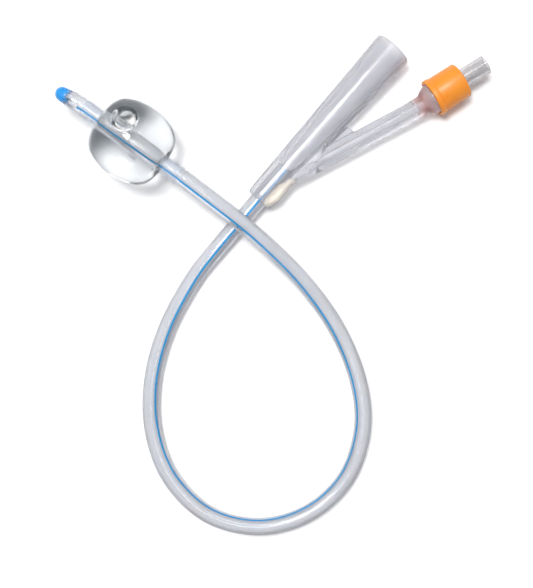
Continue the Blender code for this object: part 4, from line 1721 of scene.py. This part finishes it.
@dataclass
class Studio:
    """Camera, soft light and a plain white table."""

    centre_mm: tuple[float, float] = (-46.914, -41.428)
    height_mm: float = 340.0
    turn: float = -48.2
    field_of_view: float = 30.56
    nearest_m: float = 0.01
    paper: str = "#FBFBFC"
    paper_in_glass: str = "#F6F6F8"
    paper_lift: str = "#404040"
    table_m: float = 3.0
    sweep_m: tuple[float, float] = (0.22, 0.6)
    sweep_level: float = 0.8
    lamps: tuple[Lamp, ...] = (
        Lamp("key", (0.02, 0.27, 0.95), (0.25, 0.25), 7.4),
        Lamp("strip", (0.42, 0.225, 0.87), (0.45, 0.195), 1.7),
        Lamp("top", (-0.02, -0.04, 0.95), (0.22, 0.22), 1.2),
    )
    sky_colour: tuple[float, float, float, float] = (1.0, 1.0, 1.01, 1.0)
    sky_top: float = 0.75
    world_level: float = 0.17
    horizon_level: float = 0.07
    bounces: int = 20
    bounces_through: int = 18
    clear_walls: int = 32

    def build_camera(self) -> None:
        """Puts the camera straight above the loop, turned as the photograph is."""
        data = bpy.data.cameras.new("camera")
        data.sensor_fit = "VERTICAL"
        data.angle_y = math.radians(self.field_of_view)
        data.clip_start = self.nearest_m
        camera = bpy.data.objects.new("camera", data)
        bpy.context.scene.collection.objects.link(camera)
        x, y = self.centre_mm
        camera.location = (x * MM, y * MM, self.height_mm * MM)
        camera.rotation_euler = (0.0, 0.0, math.radians(self.turn))
        bpy.context.scene.camera = camera

    def build_light(self) -> None:
        """A key lamp, a strip that draws the tube's highlight, a top lamp and a dim sky.

        The camera sees plain white in place of the sky.
        """
        x, y = (value * MM for value in self.centre_mm)
        target = Vector((x, y, 0.0))
        for lamp in self.lamps:
            light = bpy.data.lights.new(lamp.name, "AREA")
            light.shape = "RECTANGLE"
            light.size, light.size_y = lamp.size_m
            light.energy = lamp.energy
            holder = bpy.data.objects.new(lamp.name, light)
            bpy.context.scene.collection.objects.link(holder)
            offset = Vector(lamp.offset_m)
            holder.location = target + offset
            holder.rotation_euler = (-offset).to_track_quat("-Z", "Y").to_euler()
        world = bpy.data.worlds.new("studio")
        bpy.context.scene.world = world
        world.use_nodes = True
        tree = world.node_tree
        tree.nodes.clear()
        direction = add_node(tree, "ShaderNodeTexCoord").outputs["Generated"]
        axes = add_node(tree, "ShaderNodeSeparateXYZ", {}, {0: direction}).outputs
        level = add_node(
            tree,
            "ShaderNodeMapRange",
            {
                "From Min": 0.0,
                "From Max": self.sky_top,
                "To Min": self.horizon_level,
                "To Max": self.world_level,
            },
            {"Value": axes["Z"]},
        )
        sky = add_node(
            tree,
            "ShaderNodeBackground",
            {"Color": self.sky_colour},
            {"Strength": level.outputs["Result"]},
        )
        white = add_node(tree, "ShaderNodeBackground", {"Color": linear("#FFFFFF")})
        rays = add_node(tree, "ShaderNodeLightPath").outputs["Is Camera Ray"]
        mix = add_node(
            tree,
            "ShaderNodeMixShader",
            {},
            {0: rays, 1: sky.outputs[0], 2: white.outputs[0]},
        )
        add_node(tree, "ShaderNodeOutputWorld", {}, {"Surface": mix.outputs[0]})

    def build_floor(self) -> None:
        """The white table: paper that is brighter to the camera than to glass.

        The camera sees the paper lifted, so that it is white while clear pieces over it
        look grey. Far from the object a white glow is added to it, for the camera alone.
        """
        deselect()
        bpy.ops.mesh.primitive_plane_add(size=self.table_m, location=(0.0, 0.0, 0.0))
        floor = bpy.context.object
        floor.name = "table"
        material = bpy.data.materials.new("matt_white_paper")
        material.use_nodes = True
        tree = material.node_tree
        tree.nodes.clear()
        camera = add_node(tree, "ShaderNodeLightPath").outputs["Is Camera Ray"]
        seen = add_node(
            tree,
            "ShaderNodeMix",
            {
                "data_type": "RGBA",
                6: linear(self.paper_in_glass),
                7: linear(self.paper),
            },
            {0: camera},
        )
        paper = add_node(tree, "ShaderNodeBsdfDiffuse", {}, {"Color": seen.outputs[2]})
        share = add_node(
            tree,
            "ShaderNodeMix",
            {"data_type": "RGBA", 6: linear("#000000"), 7: linear(self.paper_lift)},
            {0: camera},
        )
        more = add_node(tree, "ShaderNodeBsdfDiffuse", {}, {"Color": share.outputs[2]})
        both = add_node(tree, "ShaderNodeAddShader", {}, {0: paper.outputs[0], 1: more.outputs[0]})
        place = add_node(tree, "ShaderNodeTexCoord").outputs["Object"]
        away = add_node(tree, "ShaderNodeVectorMath", {"operation": "LENGTH"}, {0: place})
        sweep_start, sweep_end = self.sweep_m
        far = add_node(
            tree,
            "ShaderNodeMapRange",
            {
                "interpolation_type": "SMOOTHSTEP",
                "From Min": sweep_start,
                "From Max": sweep_end,
                "To Min": 0.0,
                "To Max": self.sweep_level,
            },
            {"Value": away.outputs["Value"]},
        )
        level = add_node(
            tree,
            "ShaderNodeMath",
            {"operation": "MULTIPLY"},
            {0: far.outputs["Result"], 1: camera},
        )
        sweep = add_node(
            tree,
            "ShaderNodeEmission",
            {"Color": linear(self.paper)},
            {"Strength": level.outputs[0]},
        )
        all_of_it = add_node(
            tree, "ShaderNodeAddShader", {}, {0: both.outputs[0], 1: sweep.outputs[0]}
        )
        add_node(tree, "ShaderNodeOutputMaterial", {}, {"Surface": all_of_it.outputs[0]})
        dress(floor, material)

    def build(self) -> None:
        """Sets up the camera, the light and the table."""
        bpy.context.scene.view_settings.view_transform = "Standard"
        light_paths = bpy.context.scene.cycles
        light_paths.max_bounces = self.bounces
        light_paths.transmission_bounces = self.bounces_through
        light_paths.transparent_max_bounces = self.clear_walls
        self.build_camera()
        self.build_light()
        self.build_floor()


def main() -> None:
    """Builds the studio and then the catheter, piece by piece."""
    logging.basicConfig(level=logging.INFO, format="%(message)s", force=True)
    Studio().build()
    Shaft().build(Balloon().build())
    Hub().build()
    Valve().build()
    deselect()


if __name__ == "__main__":
    main()
